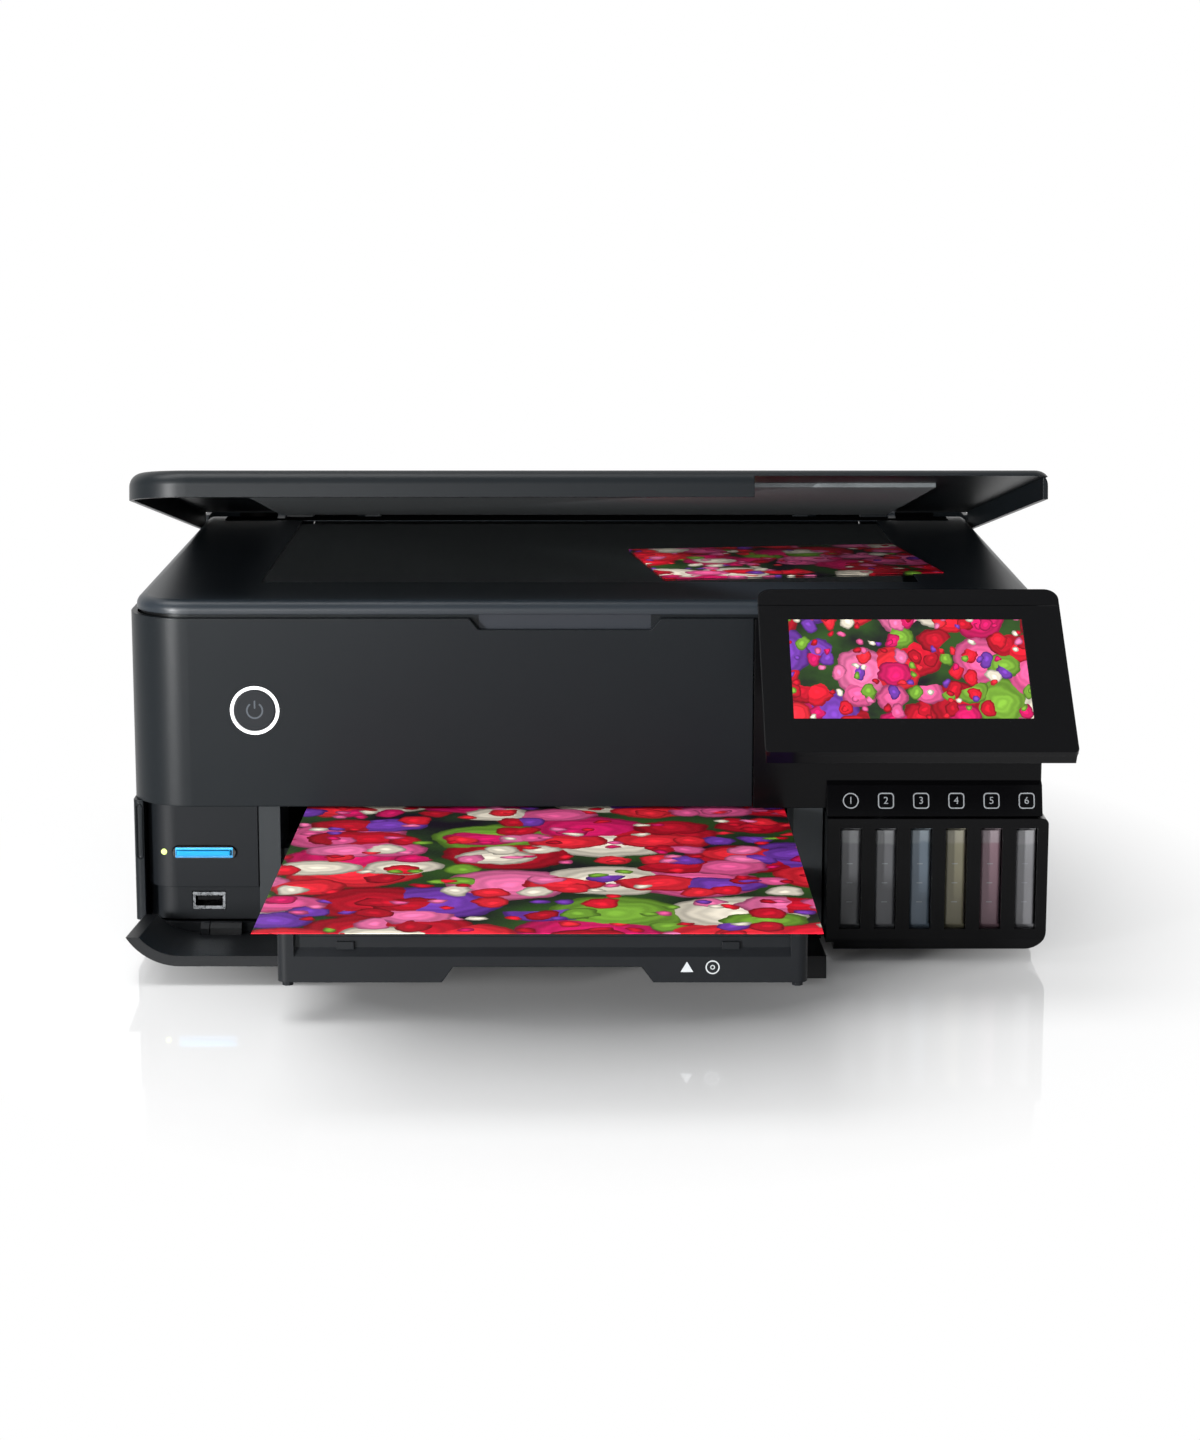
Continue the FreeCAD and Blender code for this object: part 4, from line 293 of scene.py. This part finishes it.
def discLayer(tree, coords, below, layer):
    # Scattered discs with soft rings, one random colour each
    moved = addNode(tree, "Mapping", {
        "Vector": coords, "Location": layer["shift"], "Scale": layer["squeeze"]})
    distance = addNode(tree, "TexVoronoi", {
        "voronoi_dimensions": "2D", "Vector": moved, "Scale": perMetre / layer["sizeMm"],
        "Randomness": discLook["loose"]}, "Distance")
    pick = addNode(tree, "SeparateColor", {0: distance.node.outputs["Color"]})
    chosen = addNode(tree, "ValToRGB", {0: pick})
    ramp = chosen.node.color_ramp
    ramp.interpolation = "CONSTANT"
    for i, code in enumerate(discColours):
        start = i / len(discColours)
        stop = ramp.elements[i] if i < 2 else ramp.elements.new(start)  # a new ramp has two stops
        stop.position = start
        stop.color = linear(code)
    turns = addNode(tree, "Math", {"operation": "MULTIPLY", 0: distance, 1: layer["rings"]})
    rings = addNode(tree, "Math", {"operation": "SINE", 0: turns})
    dome = addNode(tree, "MapRange", {
        0: distance, 1: 0.0, 2: layer["reach"], 3: discLook["middle"], 4: discLook["rim"]})
    light = addNode(tree, "Math", {"operation": "MULTIPLY_ADD", 0: rings, 1: discLook["ring"], 2: dome})
    shaded = addNode(tree, "VectorMath", {"operation": "SCALE", 0: chosen, "Scale": light})
    inside = addNode(tree, "Math", {"operation": "LESS_THAN", 0: distance, 1: layer["reach"]})
    kept = addNode(tree, "Math", {
        "operation": "GREATER_THAN", 0: pick.node.outputs[1], 1: layer["rare"]})
    shown = addNode(tree, "Math", {"operation": "MULTIPLY", 0: inside, 1: kept})
    return addNode(tree, "Mix", {"data_type": "RGBA", 0: shown, 6: below, 7: shaded}, 2)


pictureLook = {"dark": "#140a18", "light": "#2c4a1c", "blurMm": 55.0, "blurFrom": 0.35, "blurTo": 0.65,
               "wobbleMm": 16.67, "bend": 0.012}


def picture(tree, coords, scale, seed):
    # Generic print: overlapping ringed discs, slightly out of round, over a dark blur
    wobble = addNode(tree, "TexNoise", {
        "Vector": coords, "Scale": perMetre / (pictureLook["wobbleMm"] * scale), "Detail": 3.0}, 1)
    bent = addNode(tree, "Mix", {
        "data_type": "VECTOR", 0: pictureLook["bend"] * scale, 4: coords, 5: wobble}, 1)
    blur = addNode(tree, "TexNoise", {
        "Vector": coords, "Scale": perMetre / (pictureLook["blurMm"] * scale), "Detail": 4.0})
    patch = addNode(tree, "MapRange", {
        0: blur, 1: pictureLook["blurFrom"], 2: pictureLook["blurTo"], 3: 0.0, 4: 1.0})
    colour = addNode(tree, "Mix", {
        "data_type": "RGBA", 0: patch, 6: linear(pictureLook["dark"]), 7: linear(pictureLook["light"])}, 2)
    for layer in discLayers:
        sized = dict(layer, sizeMm=layer["sizeMm"] * scale, shift=[v + seed for v in layer["shift"]])
        colour = discLayer(tree, bent, colour, sized)
    return colour


paperLook = {"dark": "#d9dadb", "light": "#e4e5e6", "rough": (0.3, 0.4), "gloss": 0.12, "ior": 1.5,
             "grainMm": 0.9, "underside": -0.5}


def photoPaper(name, scale, seed):
    # Resin-coated paper: satin, printed on its upper face and cut edges, plain below
    material, tree, coords = newMaterial(name)
    tooth, rough = grained(tree, coords, paperLook)
    facing = addNode(tree, "TexCoord", output="Normal")
    upward = addNode(tree, "SeparateXYZ", {0: facing}, 2)
    printed = addNode(tree, "Math", {"operation": "GREATER_THAN", 0: upward, 1: paperLook["underside"]})
    plain = addNode(tree, "Mix", {
        "data_type": "RGBA", 0: tooth, 6: linear(paperLook["dark"]), 7: linear(paperLook["light"])}, 2)
    colour = addNode(tree, "Mix", {
        "data_type": "RGBA", 0: printed, 6: plain, 7: picture(tree, coords, scale, seed)}, 2)
    shader = addNode(tree, "BsdfPrincipled", {
        "IOR": paperLook["ior"], "Specular IOR Level": paperLook["gloss"], "Base Color": colour,
        "Roughness": rough})
    addNode(tree, "OutputMaterial", {"Surface": shader})
    return material


screenLook = {"scale": 0.42, "seed": 0.31, "glow": 1.5, "glass": "#060607", "gloss": 0.2, "ior": 1.5,
              "rough": (0.08, 0.16), "grainMm": 40.0}


def displayGlass():
    # Touch glass over a lit liquid crystal panel: the picture shines under a weak mirror
    material, tree, coords = newMaterial("touchScreenLitGlass")
    rough = grained(tree, coords, screenLook)[1]
    shader = addNode(tree, "BsdfPrincipled", {
        "Base Color": linear(screenLook["glass"]), "IOR": screenLook["ior"],
        "Specular IOR Level": screenLook["gloss"], "Roughness": rough,
        "Emission Strength": screenLook["glow"],
        "Emission Color": picture(tree, coords, screenLook["scale"], screenLook["seed"])})
    addNode(tree, "OutputMaterial", {"Surface": shader})
    return material


bezelLook = {"x": -170.0, "z": 43.5, "halfWide": 12.7, "halfTall": 2.3, "dark": "#0f74a8",
             "light": "#2fa6dc", "rim": "#070708", "ior": 1.58, "rough": (0.2, 0.3), "grainMm": 0.8}


def slotBezel():
    # Polycarbonate light guide in a black rim: an even blue, with a painted highlight that pales it towards
    # its upper edge
    material, tree, coords = newMaterial("cardSlotPolycarbonateBluePaintedHighlight")
    spot = addNode(tree, "SeparateXYZ", {0: coords}).node.outputs
    offX = addNode(tree, "Math", {"operation": "SUBTRACT", 0: spot[0], 1: bezelLook["x"] * mm})
    offZ = addNode(tree, "Math", {"operation": "SUBTRACT", 0: spot[2], 1: bezelLook["z"] * mm})
    farX = addNode(tree, "Math", {"operation": "ABSOLUTE", 0: offX})
    farZ = addNode(tree, "Math", {"operation": "ABSOLUTE", 0: offZ})
    wide = bezelLook["halfWide"] * mm
    tall = bezelLook["halfTall"] * mm
    insideX = addNode(tree, "Math", {"operation": "LESS_THAN", 0: farX, 1: wide})
    insideZ = addNode(tree, "Math", {"operation": "LESS_THAN", 0: farZ, 1: tall})
    inside = addNode(tree, "Math", {"operation": "MULTIPLY", 0: insideX, 1: insideZ})
    # Painted highlight: the blue grows paler towards the upper edge
    upper = addNode(tree, "MapRange", {0: offZ, 1: -tall, 2: tall, 3: 0.0, 4: 1.0})
    blue = addNode(tree, "Mix", {
        "data_type": "RGBA", 0: upper, 6: linear(bezelLook["dark"]), 7: linear(bezelLook["light"])}, 2)
    colour = addNode(tree, "Mix", {"data_type": "RGBA", 0: inside, 6: linear(bezelLook["rim"]), 7: blue}, 2)
    rough = grained(tree, coords, bezelLook)[1]
    shader = addNode(tree, "BsdfPrincipled", {
        "IOR": bezelLook["ior"], "Base Color": colour, "Roughness": rough})
    addNode(tree, "OutputMaterial", {"Surface": shader})
    return material


portLook = {"lipY": -144.4, "dark": "#7f8285", "light": "#a2a5a8", "inside": "#070708", "gloss": 0.15,
            "rough": (0.24, 0.36), "grainMm": 1.5}


def portShell():
    # Nickel-plated steel round a black moulding: a bright lip with a dark hole. Behind the lip all is drawn
    # black: partly the moulding's own colour, partly painted shade inside the shell
    material, tree, coords = newMaterial("portShellNickelAndPaintedShade")
    depth = addNode(tree, "SeparateXYZ", {0: coords}, 1)
    # Past the lip: the black moulding, and painted shade over the shell's inner walls
    lip = addNode(tree, "Math", {"operation": "LESS_THAN", 0: depth, 1: portLook["lipY"] * mm})
    cloud, rough = grained(tree, coords, portLook)
    nickel = addNode(tree, "Mix", {
        "data_type": "RGBA", 0: cloud, 6: linear(portLook["dark"]), 7: linear(portLook["light"])}, 2)
    colour = addNode(tree, "Mix", {
        "data_type": "RGBA", 0: lip, 6: linear(portLook["inside"]), 7: nickel}, 2)
    shader = addNode(tree, "BsdfPrincipled", {
        "Specular IOR Level": portLook["gloss"], "Base Color": colour, "Metallic": lip,
        "Roughness": rough})
    addNode(tree, "OutputMaterial", {"Surface": shader})
    return material


feltLook = {"dark": "#030303", "light": "#090909", "grainMm": 0.8, "depthMm": 0.08, "edgeMm": 0.2}


def felt():
    # Pressed black felt: no shine even at a flat angle. It is laid as painted shade where faces under the
    # lid catch light
    material, tree, coords = newMaterial("shadeStripFeltBlack")
    fibre = addNode(tree, "TexNoise", {
        "Vector": coords, "Scale": perMetre / feltLook["grainMm"], "Detail": 5.0})
    colour = addNode(tree, "Mix", {
        "data_type": "RGBA", 0: fibre, 6: linear(feltLook["dark"]), 7: linear(feltLook["light"])}, 2)
    shader = addNode(tree, "BsdfDiffuse", {
        "Roughness": 1.0, "Color": colour, "Normal": grainedNormal(tree, fibre, feltLook)})
    addNode(tree, "OutputMaterial", {"Surface": shader})
    return material


litLook = {"rough": 0.3, "glow": 0.45, "grainMm": 2.0}


def lightGuide(name, dark, light):
    # Diffusing polycarbonate, lit from behind: an even, weak glow
    material, tree, coords = newMaterial(name)
    haze = addNode(tree, "TexNoise", {
        "Vector": coords, "Scale": perMetre / litLook["grainMm"], "Detail": 3.0})
    colour = addNode(tree, "Mix", {"data_type": "RGBA", 0: haze, 6: linear(dark), 7: linear(light)}, 2)
    shader = addNode(tree, "BsdfPrincipled", {
        "Roughness": litLook["rough"], "Base Color": colour, "Emission Color": colour,
        "Emission Strength": litLook["glow"]})
    addNode(tree, "OutputMaterial", {"Surface": shader})
    return material


inkLook = {"rough": 0.5, "gloss": 0.3, "grainMm": 0.5}


def printedInk(name, dark, light):
    # Pad-printed ink: a flat colour with a slight speckle
    material, tree, coords = newMaterial(name)
    speck = addNode(tree, "TexNoise", {
        "Vector": coords, "Scale": perMetre / inkLook["grainMm"], "Detail": 3.0})
    colour = addNode(tree, "Mix", {"data_type": "RGBA", 0: speck, 6: linear(dark), 7: linear(light)}, 2)
    shader = addNode(tree, "BsdfPrincipled", {
        "Roughness": inkLook["rough"], "Specular IOR Level": inkLook["gloss"], "Base Color": colour})
    addNode(tree, "OutputMaterial", {"Surface": shader})
    return material


foam = foamMat()
tankPlastics = [inkTank("inkTankPolypropylene" + str(i + 1), filling) for i, filling in enumerate(inks)]
glass = scanGlass()
sheetPaper = photoPaper("photoPaperInkjetPrint", scale=1.0, seed=0.0)
glassPaper = photoPaper("photoPaperSmallPrint", scale=0.62, seed=0.17)
screen = displayGlass()
bezelBlueWithPaintedHighlight = slotBezel()
port = portShell()
paintedShadeFelt = felt()
ledLit = lightGuide("statusLampPolycarbonateLit", "#b6d94a", "#e6f59a")
ringLit = lightGuide("powerRingPolycarbonateLit", "#d9dbdd", "#eeeff0")
symbolInk = printedInk("padPrintDarkGrey", "#3c4248", "#474d53")
greyInk = printedInk("padPrintMidGrey", "#76797c", "#8c8f92")
paleInk = printedInk("padPrintPaleGrey", "#a9acae", "#bcbfc1")
print("special materials made")

finishes = (
    (charcoal, "main_housing front_panel rear_feed_cover rear_jam_cover rear_paper_support"),
    (lidCharcoal, "lid_shell"),
    (bedCharcoalPaintedLight, "scanner_frame"),
    (trayShellPaintedLightAndShade, "scanner_tray"),
    (buttonPlastic, "power_button"),
    (black, "tank_bezel tank_upper_trim"),
    (fasciaBlack, "panel_fascia panel_rear_shell"),
    (darkGrey, "bottom_case inner_deck card_panel ac_inlet rear_jacks tank_cover ink_tubes"),
    (darkGrey, "paper_cassette_lower paper_cassette_upper platen star_wheel_holder cap_station"),
    (darkGrey, "print_carriage scan_carriage power_supply waste_ink_box"),
    (trayGrey, "output_tray"),
    (guideGrey, "paper_exit_frame"),
    (coverGrey, "front_cover"),
    (midGrey, "tank_caps print_head"),
    (cardBlue, "memory_card"),
    (rubber, "feet timing_belt"),
    (board, "main_board"),
    (steel, "carriage_rail scan_rail feed_roller exit_roller carriage_motor"),
    (brass, "drive_pulley idler_pulley"),
    (foam, "document_mat"),
    (glass, "scanner_glass"),
    (sheetPaper, "printed_sheet"),
    (glassPaper, "photo_original"),
    (screen, "touch_screen"),
    (bezelBlueWithPaintedHighlight, "card_slot_bezel"),
    (port, "usb_host_socket"),
    (ledLit, "status_led"),
    (ringLit, "power_ring"),
)


def dress(node, material):
    slots = nodes[node].data.materials
    slots.clear()
    slots.append(material)


for material, names in finishes:
    for name in names.split():
        dress(name, material)
for i, material in enumerate(tankPlastics):
    dress("ink_tank_" + str(i + 1), material)
print("frame dressed")

# Lengths of the added pieces are in mm
sunk = 0.02  # they start this far inside the face they stand on
inkThick = 0.05
rightward = (1, 0, 0)
backward = (0, 1, 0)
upward = (0, 0, 1)


def place(origin, across, upright):
    # Frame whose x runs across a face and y up it
    x = Vector(across).normalized()
    y = Vector(upright).normalized()
    matrix = Matrix((x, y, x.cross(y))).transposed().to_4x4()
    matrix.translation = Vector(origin) * mm
    return matrix


def rounded(width, height, radius, steps=5):
    # Outline of a rounded rectangle about the middle
    points = []
    for cx, cy, start in ((1, 1, 0), (-1, 1, 90), (-1, -1, 180), (1, -1, 270)):
        for i in range(steps + 1):
            angle = math.radians(start + 90 * i / steps)
            points.append((cx * (width / 2 - radius) + radius * math.cos(angle),
                           cy * (height / 2 - radius) + radius * math.sin(angle)))
    return points


def arc(radius, start, stop, steps):
    angles = [math.radians(start + (stop - start) * i / steps) for i in range(steps + 1)]
    return [(radius * math.cos(a), radius * math.sin(a)) for a in angles]


def circle(radius, count):
    return arc(radius, 0, 360 - 360 / count, count - 1)


def addPolygon(mesh, points, matrix, height):
    low = [mesh.verts.new(matrix @ Vector((x * mm, y * mm, -sunk * mm))) for x, y in points]
    high = [mesh.verts.new(matrix @ Vector((x * mm, y * mm, height * mm))) for x, y in points]
    mesh.faces.new(high)
    mesh.faces.new(list(reversed(low)))
    for i in range(len(points)):
        j = (i + 1) % len(points)
        mesh.faces.new((low[i], low[j], high[j], high[i]))


def addLoop(mesh, outer, inner, matrix, height, closed=True):
    # Raised line between two outlines with as many points
    count = len(outer)
    rows = []
    for points, level in ((outer, -sunk), (outer, height), (inner, height), (inner, -sunk)):
        rows.append([mesh.verts.new(matrix @ Vector((x * mm, y * mm, level * mm))) for x, y in points])
    for i in range(count if closed else count - 1):
        j = (i + 1) % count
        for a, b in ((0, 1), (1, 2), (2, 3), (3, 0)):
            mesh.faces.new((rows[a][i], rows[a][j], rows[b][j], rows[b][i]))
    if not closed:
        mesh.faces.new([rows[k][0] for k in (0, 1, 2, 3)])
        mesh.faces.new([rows[k][-1] for k in (3, 2, 1, 0)])


def finishPiece(name, mesh, material, body):
    data = bpy.data.meshes.new(name)
    bmesh.ops.recalc_face_normals(mesh, faces=mesh.faces)
    mesh.to_mesh(data)
    mesh.free()
    data.materials.append(material)
    piece = bpy.data.objects.new(name, data)
    scene.collection.objects.link(piece)
    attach(piece, body)


tankRow = {"firstX": 115.35, "pitch": 15.36, "count": 6}
badges = {"y": -169.25, "z": 71.4, "slope": (0, 4.5, 13.0), "size": 7.0, "corner": 1.6, "line": 0.5,
          "thick": 0.06, "digit": 4.4, "digitThick": 0.03}


def tankBadges():
    mesh = bmesh.new()
    size = badges["size"]
    slim = size - 2 * badges["line"]
    for i in range(tankRow["count"]):
        x = tankRow["firstX"] + tankRow["pitch"] * i
        matrix = place((x, badges["y"], badges["z"]), rightward, badges["slope"])
        radius = size / 2 if i == 0 else badges["corner"]  # first badge is round
        inner = rounded(slim, slim, radius - badges["line"])
        addLoop(mesh, rounded(size, size, radius), inner, matrix, badges["thick"])
        text = bpy.data.curves.new("tankNumber" + str(i + 1), "FONT")
        text.body = str(i + 1)
        text.size = badges["digit"] * mm
        text.align_x = "CENTER"
        text.align_y = "CENTER"
        text.extrude = badges["digitThick"] * mm
        text.materials.append(greyInk)
        digit = bpy.data.objects.new("tankNumber" + str(i + 1), text)
        digit.matrix_world = matrix @ Matrix.Translation((0, 0, badges["digitThick"] * mm))
        scene.collection.objects.link(digit)
        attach(digit, "base")
    finishPiece("tankBadgeFrames", mesh, greyInk, "base")


powerMark = {"x": -145.0, "z": 110.0, "proud": 0.4, "radius": 3.4, "line": 0.7, "from": 125, "to": 415,
             "steps": 28, "bar": 3.6, "barUp": 2.6, "corner": 0.315}


def powerSymbol():
    mesh = bmesh.new()
    matrix = place((powerMark["x"], panelFaceY - powerMark["proud"], powerMark["z"]), rightward, upward)
    half = powerMark["line"] / 2
    outer, inner = [arc(radius, powerMark["from"], powerMark["to"], powerMark["steps"])
                    for radius in (powerMark["radius"] + half, powerMark["radius"] - half)]
    addLoop(mesh, outer, inner, matrix, inkThick, closed=False)
    bar = matrix @ Matrix.Translation((0, powerMark["barUp"] * mm, 0))
    addPolygon(mesh, rounded(powerMark["line"], powerMark["bar"], powerMark["corner"]), bar, inkThick)
    finishPiece("powerSymbol", mesh, symbolInk, "button")


# Strips of painted shade: black felt laid over lit faces at the rear of the bed
rimShadeStrip = {"halfWide": 186.0, "y": 171.0, "low": 150.6, "high": 157.3, "corner": 1.2, "thick": 0.2}
bedShadeStrip = {"halfWide": 188.0, "front": 114.6, "rear": 128.8, "z": 158.0, "corner": 2.0, "thick": 0.25}


def paintedShadeStrips():
    # Felt strips inside the rear rim and behind the glass: painted shade over faces that catch light under
    # the lid
    mesh = bmesh.new()
    matrix = place((0, rimShadeStrip["y"], (rimShadeStrip["low"] + rimShadeStrip["high"]) / 2), rightward, upward)
    strip = rounded(2 * rimShadeStrip["halfWide"], rimShadeStrip["high"] - rimShadeStrip["low"], rimShadeStrip["corner"])
    addPolygon(mesh, strip, matrix, rimShadeStrip["thick"])
    finishPiece("rearRimShadeStrip", mesh, paintedShadeFelt, "base")
    mesh = bmesh.new()
    matrix = place((0, (bedShadeStrip["front"] + bedShadeStrip["rear"]) / 2, bedShadeStrip["z"]), rightward, backward)
    strip = rounded(2 * bedShadeStrip["halfWide"], bedShadeStrip["rear"] - bedShadeStrip["front"], bedShadeStrip["corner"])
    addPolygon(mesh, strip, matrix, bedShadeStrip["thick"])
    finishPiece("bedRearShadeStrip", mesh, paintedShadeFelt, "scanner")


column = {"left": -201.4, "right": -196.8, "front": -147.0, "rear": -123.2, "low": 12.0, "high": 66.8,
          "edge": 3.0, "edgeSteps": 6}
columnLoop = {"x": -198.9, "z": 52.5, "wide": 3.0, "tall": 25.0, "line": 0.45, "thick": 0.4}


def sideColumn():
    # Front end of the left side wall beside the card panel, with a raised loop on it
    mesh = bmesh.new()
    edge = column["edge"]
    bendX = column["left"] + edge
    bendY = column["front"] + edge
    outline = [(bendX + x, bendY + y) for x, y in arc(edge, 180, 270, column["edgeSteps"])]
    outline.append((column["right"], column["front"]))
    outline.append((column["right"], column["rear"]))
    outline.append((column["left"], column["rear"]))
    matrix = place((0, 0, column["low"]), rightward, backward)
    addPolygon(mesh, outline, matrix, column["high"] - column["low"])
    wide = columnLoop["wide"]
    tall = columnLoop["tall"]
    line = columnLoop["line"]
    inner = rounded(wide - 2 * line, tall - 2 * line, wide / 2 - line)
    matrix = place((columnLoop["x"], column["front"], columnLoop["z"]), rightward, upward)
    addLoop(mesh, rounded(wide, tall, wide / 2), inner, matrix, columnLoop["thick"])
    finishPiece("leftSideColumn", mesh, charcoal, "base")


# A rim and a hub each have an outer and an inner radius and a number of corners
trayMarks = {"y": -268.5, "z": 23.6, "arrowX": 41.0, "arrow": ((-2.6, -2.0), (2.6, -2.0), (0.0, 2.4)),
             "discX": 51.5, "rim": (2.9, 2.4, 24), "hub": (1.0, 0.6, 12)}


def trayPictograms():
    mesh = bmesh.new()
    matrix = place((trayMarks["arrowX"], trayMarks["y"], trayMarks["z"]), rightward, upward)
    addPolygon(mesh, trayMarks["arrow"], matrix, inkThick)
    matrix = place((trayMarks["discX"], trayMarks["y"], trayMarks["z"]), rightward, upward)
    for outer, inner, count in (trayMarks["rim"], trayMarks["hub"]):
        addLoop(mesh, circle(outer, count), circle(inner, count), matrix, inkThick)
    finishPiece("trayPictograms", mesh, paleInk, "tray")


levels = {"y": -169.0, "heights": (25.9, 34.5, 43.1), "wide": 2.6, "tall": 0.4, "corner": 0.18}


def levelTicks():
    mesh = bmesh.new()
    tick = rounded(levels["wide"], levels["tall"], levels["corner"], steps=2)
    for i in range(tankRow["count"]):
        x = tankRow["firstX"] + tankRow["pitch"] * i
        for height in levels["heights"]:
            addPolygon(mesh, tick, place((x, levels["y"], height), rightward, upward), inkThick)
    finishPiece("tankLevelTicks", mesh, greyInk, "base")


ruler = {"firstX": -130.0, "y": -105.0, "z": 158.0, "pitch": 25.0, "count": 7, "line": 0.5, "long": 2.6,
         "short": 1.6, "corner": 0.2, "longEvery": 3}


def glassRuler():
    mesh = bmesh.new()
    for i in range(ruler["count"]):
        x = ruler["firstX"] + ruler["pitch"] * i
        length = ruler["long"] if i % ruler["longEvery"] == 0 else ruler["short"]
        tick = rounded(ruler["line"], length, ruler["corner"], steps=2)
        addPolygon(mesh, tick, place((x, ruler["y"], ruler["z"]), rightward, backward), inkThick)
    finishPiece("glassEdgeTicks", mesh, symbolInk, "scanner")


tankBadges()
powerSymbol()
paintedShadeStrips()
sideColumn()
trayPictograms()
levelTicks()
glassRuler()
print("printed marks made")


def whiteRays(tree):
    # Camera, glossy and transmission rays see the white backdrop
    rays = addNode(tree, "LightPath").node.outputs
    seen = addNode(tree, "Math", {
        "operation": "MAXIMUM", 0: rays["Is Camera Ray"], 1: rays["Is Glossy Ray"]})
    return addNode(tree, "Math", {"operation": "MAXIMUM", 0: seen, 1: rays["Is Transmission Ray"]})


def stagePlane(name, corners, material):
    data = bpy.data.meshes.new(name)
    data.from_pydata(corners, [], [(0, 1, 2, 3)])
    data.materials.append(material)
    plane = bpy.data.objects.new(name, data)
    scene.collection.objects.link(plane)


# Lengths of the stage, lamps and camera are in metres
floorLook = {"colour": "#e6e6e6", "rough": 0.04, "ior": 2.1, "shift": (0.0, 0.05, 0.0),
             "squeeze": (1.3, 1.0, 1.0), "fadeFrom": 0.22, "fadeTo": 0.43}


def floorMaterial():
    # Lacquered board: a weak mirror under the printer, fading to plain white round it.
    # The IOR is above that of a real lacquer, so that the mirror shows
    material, tree, coords = newMaterial("paleFloorLacquered")
    oval = addNode(tree, "Mapping", {
        "Vector": coords, "Location": floorLook["shift"], "Scale": floorLook["squeeze"]})
    away = addNode(tree, "VectorMath", {"operation": "LENGTH", 0: oval}, "Value")
    plain = addNode(tree, "MapRange", {
        0: away, 1: floorLook["fadeFrom"], 2: floorLook["fadeTo"], 3: 0.0, 4: 1.0})
    share = addNode(tree, "Math", {"operation": "MULTIPLY", 0: plain, 1: whiteRays(tree)})
    shader = addNode(tree, "BsdfPrincipled", {
        "Base Color": linear(floorLook["colour"]), "Roughness": floorLook["rough"],
        "IOR": floorLook["ior"]})
    glow = addNode(tree, "Emission", {"Strength": 1.0})
    mixed = addNode(tree, "MixShader", {0: share, 1: shader, 2: glow})
    addNode(tree, "OutputMaterial", {"Surface": mixed})
    return material


backdropLook = {"dark": "#f0f0f0", "light": "#f6f6f6", "grainMm": 30.0}


def backdropMaterial():
    # Matt paper: plain white behind the printer
    material, tree, coords = newMaterial("whiteBackdropPaper")
    fibre = addNode(tree, "TexNoise", {
        "Vector": coords, "Scale": perMetre / backdropLook["grainMm"], "Detail": 3.0})
    white = addNode(tree, "Mix", {
        "data_type": "RGBA", 0: fibre, 6: linear(backdropLook["dark"]),
        7: linear(backdropLook["light"])}, 2)
    shader = addNode(tree, "BsdfDiffuse", {"Color": white})
    glow = addNode(tree, "Emission", {"Strength": 1.0})
    mixed = addNode(tree, "MixShader", {0: whiteRays(tree), 1: shader, 2: glow})
    addNode(tree, "OutputMaterial", {"Surface": mixed})
    return material


stage = {"side": 6.0, "backY": 3.0, "low": -0.5, "high": 6.0, "sky": "#f3f5f8", "skyStrength": 0.45}
side, backY, low, high = (stage[key] for key in ("side", "backY", "low", "high"))
floorCorners = [(-side, -side, 0), (side, -side, 0), (side, side, 0), (-side, side, 0)]
backCorners = [(-side, backY, low), (side, backY, low), (side, backY, high), (-side, backY, high)]
stagePlane("paleFloor", floorCorners, floorMaterial())
stagePlane("backdrop", backCorners, backdropMaterial())

world = bpy.data.worlds.new("studio")
world.use_nodes = True
world.node_tree.nodes["Background"].inputs[0].default_value = linear(stage["sky"])
world.node_tree.nodes["Background"].inputs[1].default_value = stage["skyStrength"]
scene.world = world

lamps = (
    {"name": "stripCorner", "at": (-1.5, -1.85, 0.25), "aim": (-0.15, -0.16, 0.1),
     "size": (0.2, 0.5), "watts": 85.0},
    {"name": "stripNear", "at": (-0.52, -2.15, 0.3), "aim": (-0.1, -0.16, 0.1),
     "size": (0.2, 0.6), "watts": 13.0},
    {"name": "topSoft", "at": (-0.75, -0.3, 1.9), "aim": (0, -0.15, 0),
     "size": (1.0, 1.6), "watts": 34.0},
    {"name": "underLid", "at": (0.06, -0.05, 0.2), "aim": (0.09, -0.03, 0.15),
     "size": (0.2, 0.1), "watts": 0.13},
)
for look in lamps:
    light = bpy.data.lights.new(look["name"], "AREA")
    light.shape = "RECTANGLE"
    light.size, light.size_y = look["size"]
    light.energy = look["watts"]
    holder = bpy.data.objects.new(look["name"], light)
    holder.location = look["at"]
    holder.rotation_euler = (Vector(look["aim"]) - Vector(look["at"])).to_track_quat("-Z", "Y").to_euler()
    holder.visible_camera = False
    holder.visible_glossy = look["name"] != "underLid"  # that one only lifts the print on the glass
    scene.collection.objects.link(holder)

shot = {"at": (0.0, -1.5205, 0.369), "pitch": 10.96, "lens": 79.2, "sensor": 36.0, "shift": 0.0093}
cameraData = bpy.data.cameras.new("photoCamera")
cameraData.lens = shot["lens"]
cameraData.sensor_width = shot["sensor"]
cameraData.shift_x = shot["shift"]
camera = bpy.data.objects.new("photoCamera", cameraData)
camera.location = shot["at"]
camera.rotation_euler = (math.radians(90 - shot["pitch"]), 0, 0)
scene.collection.objects.link(camera)
scene.camera = camera
print("stage, lamps and camera set")
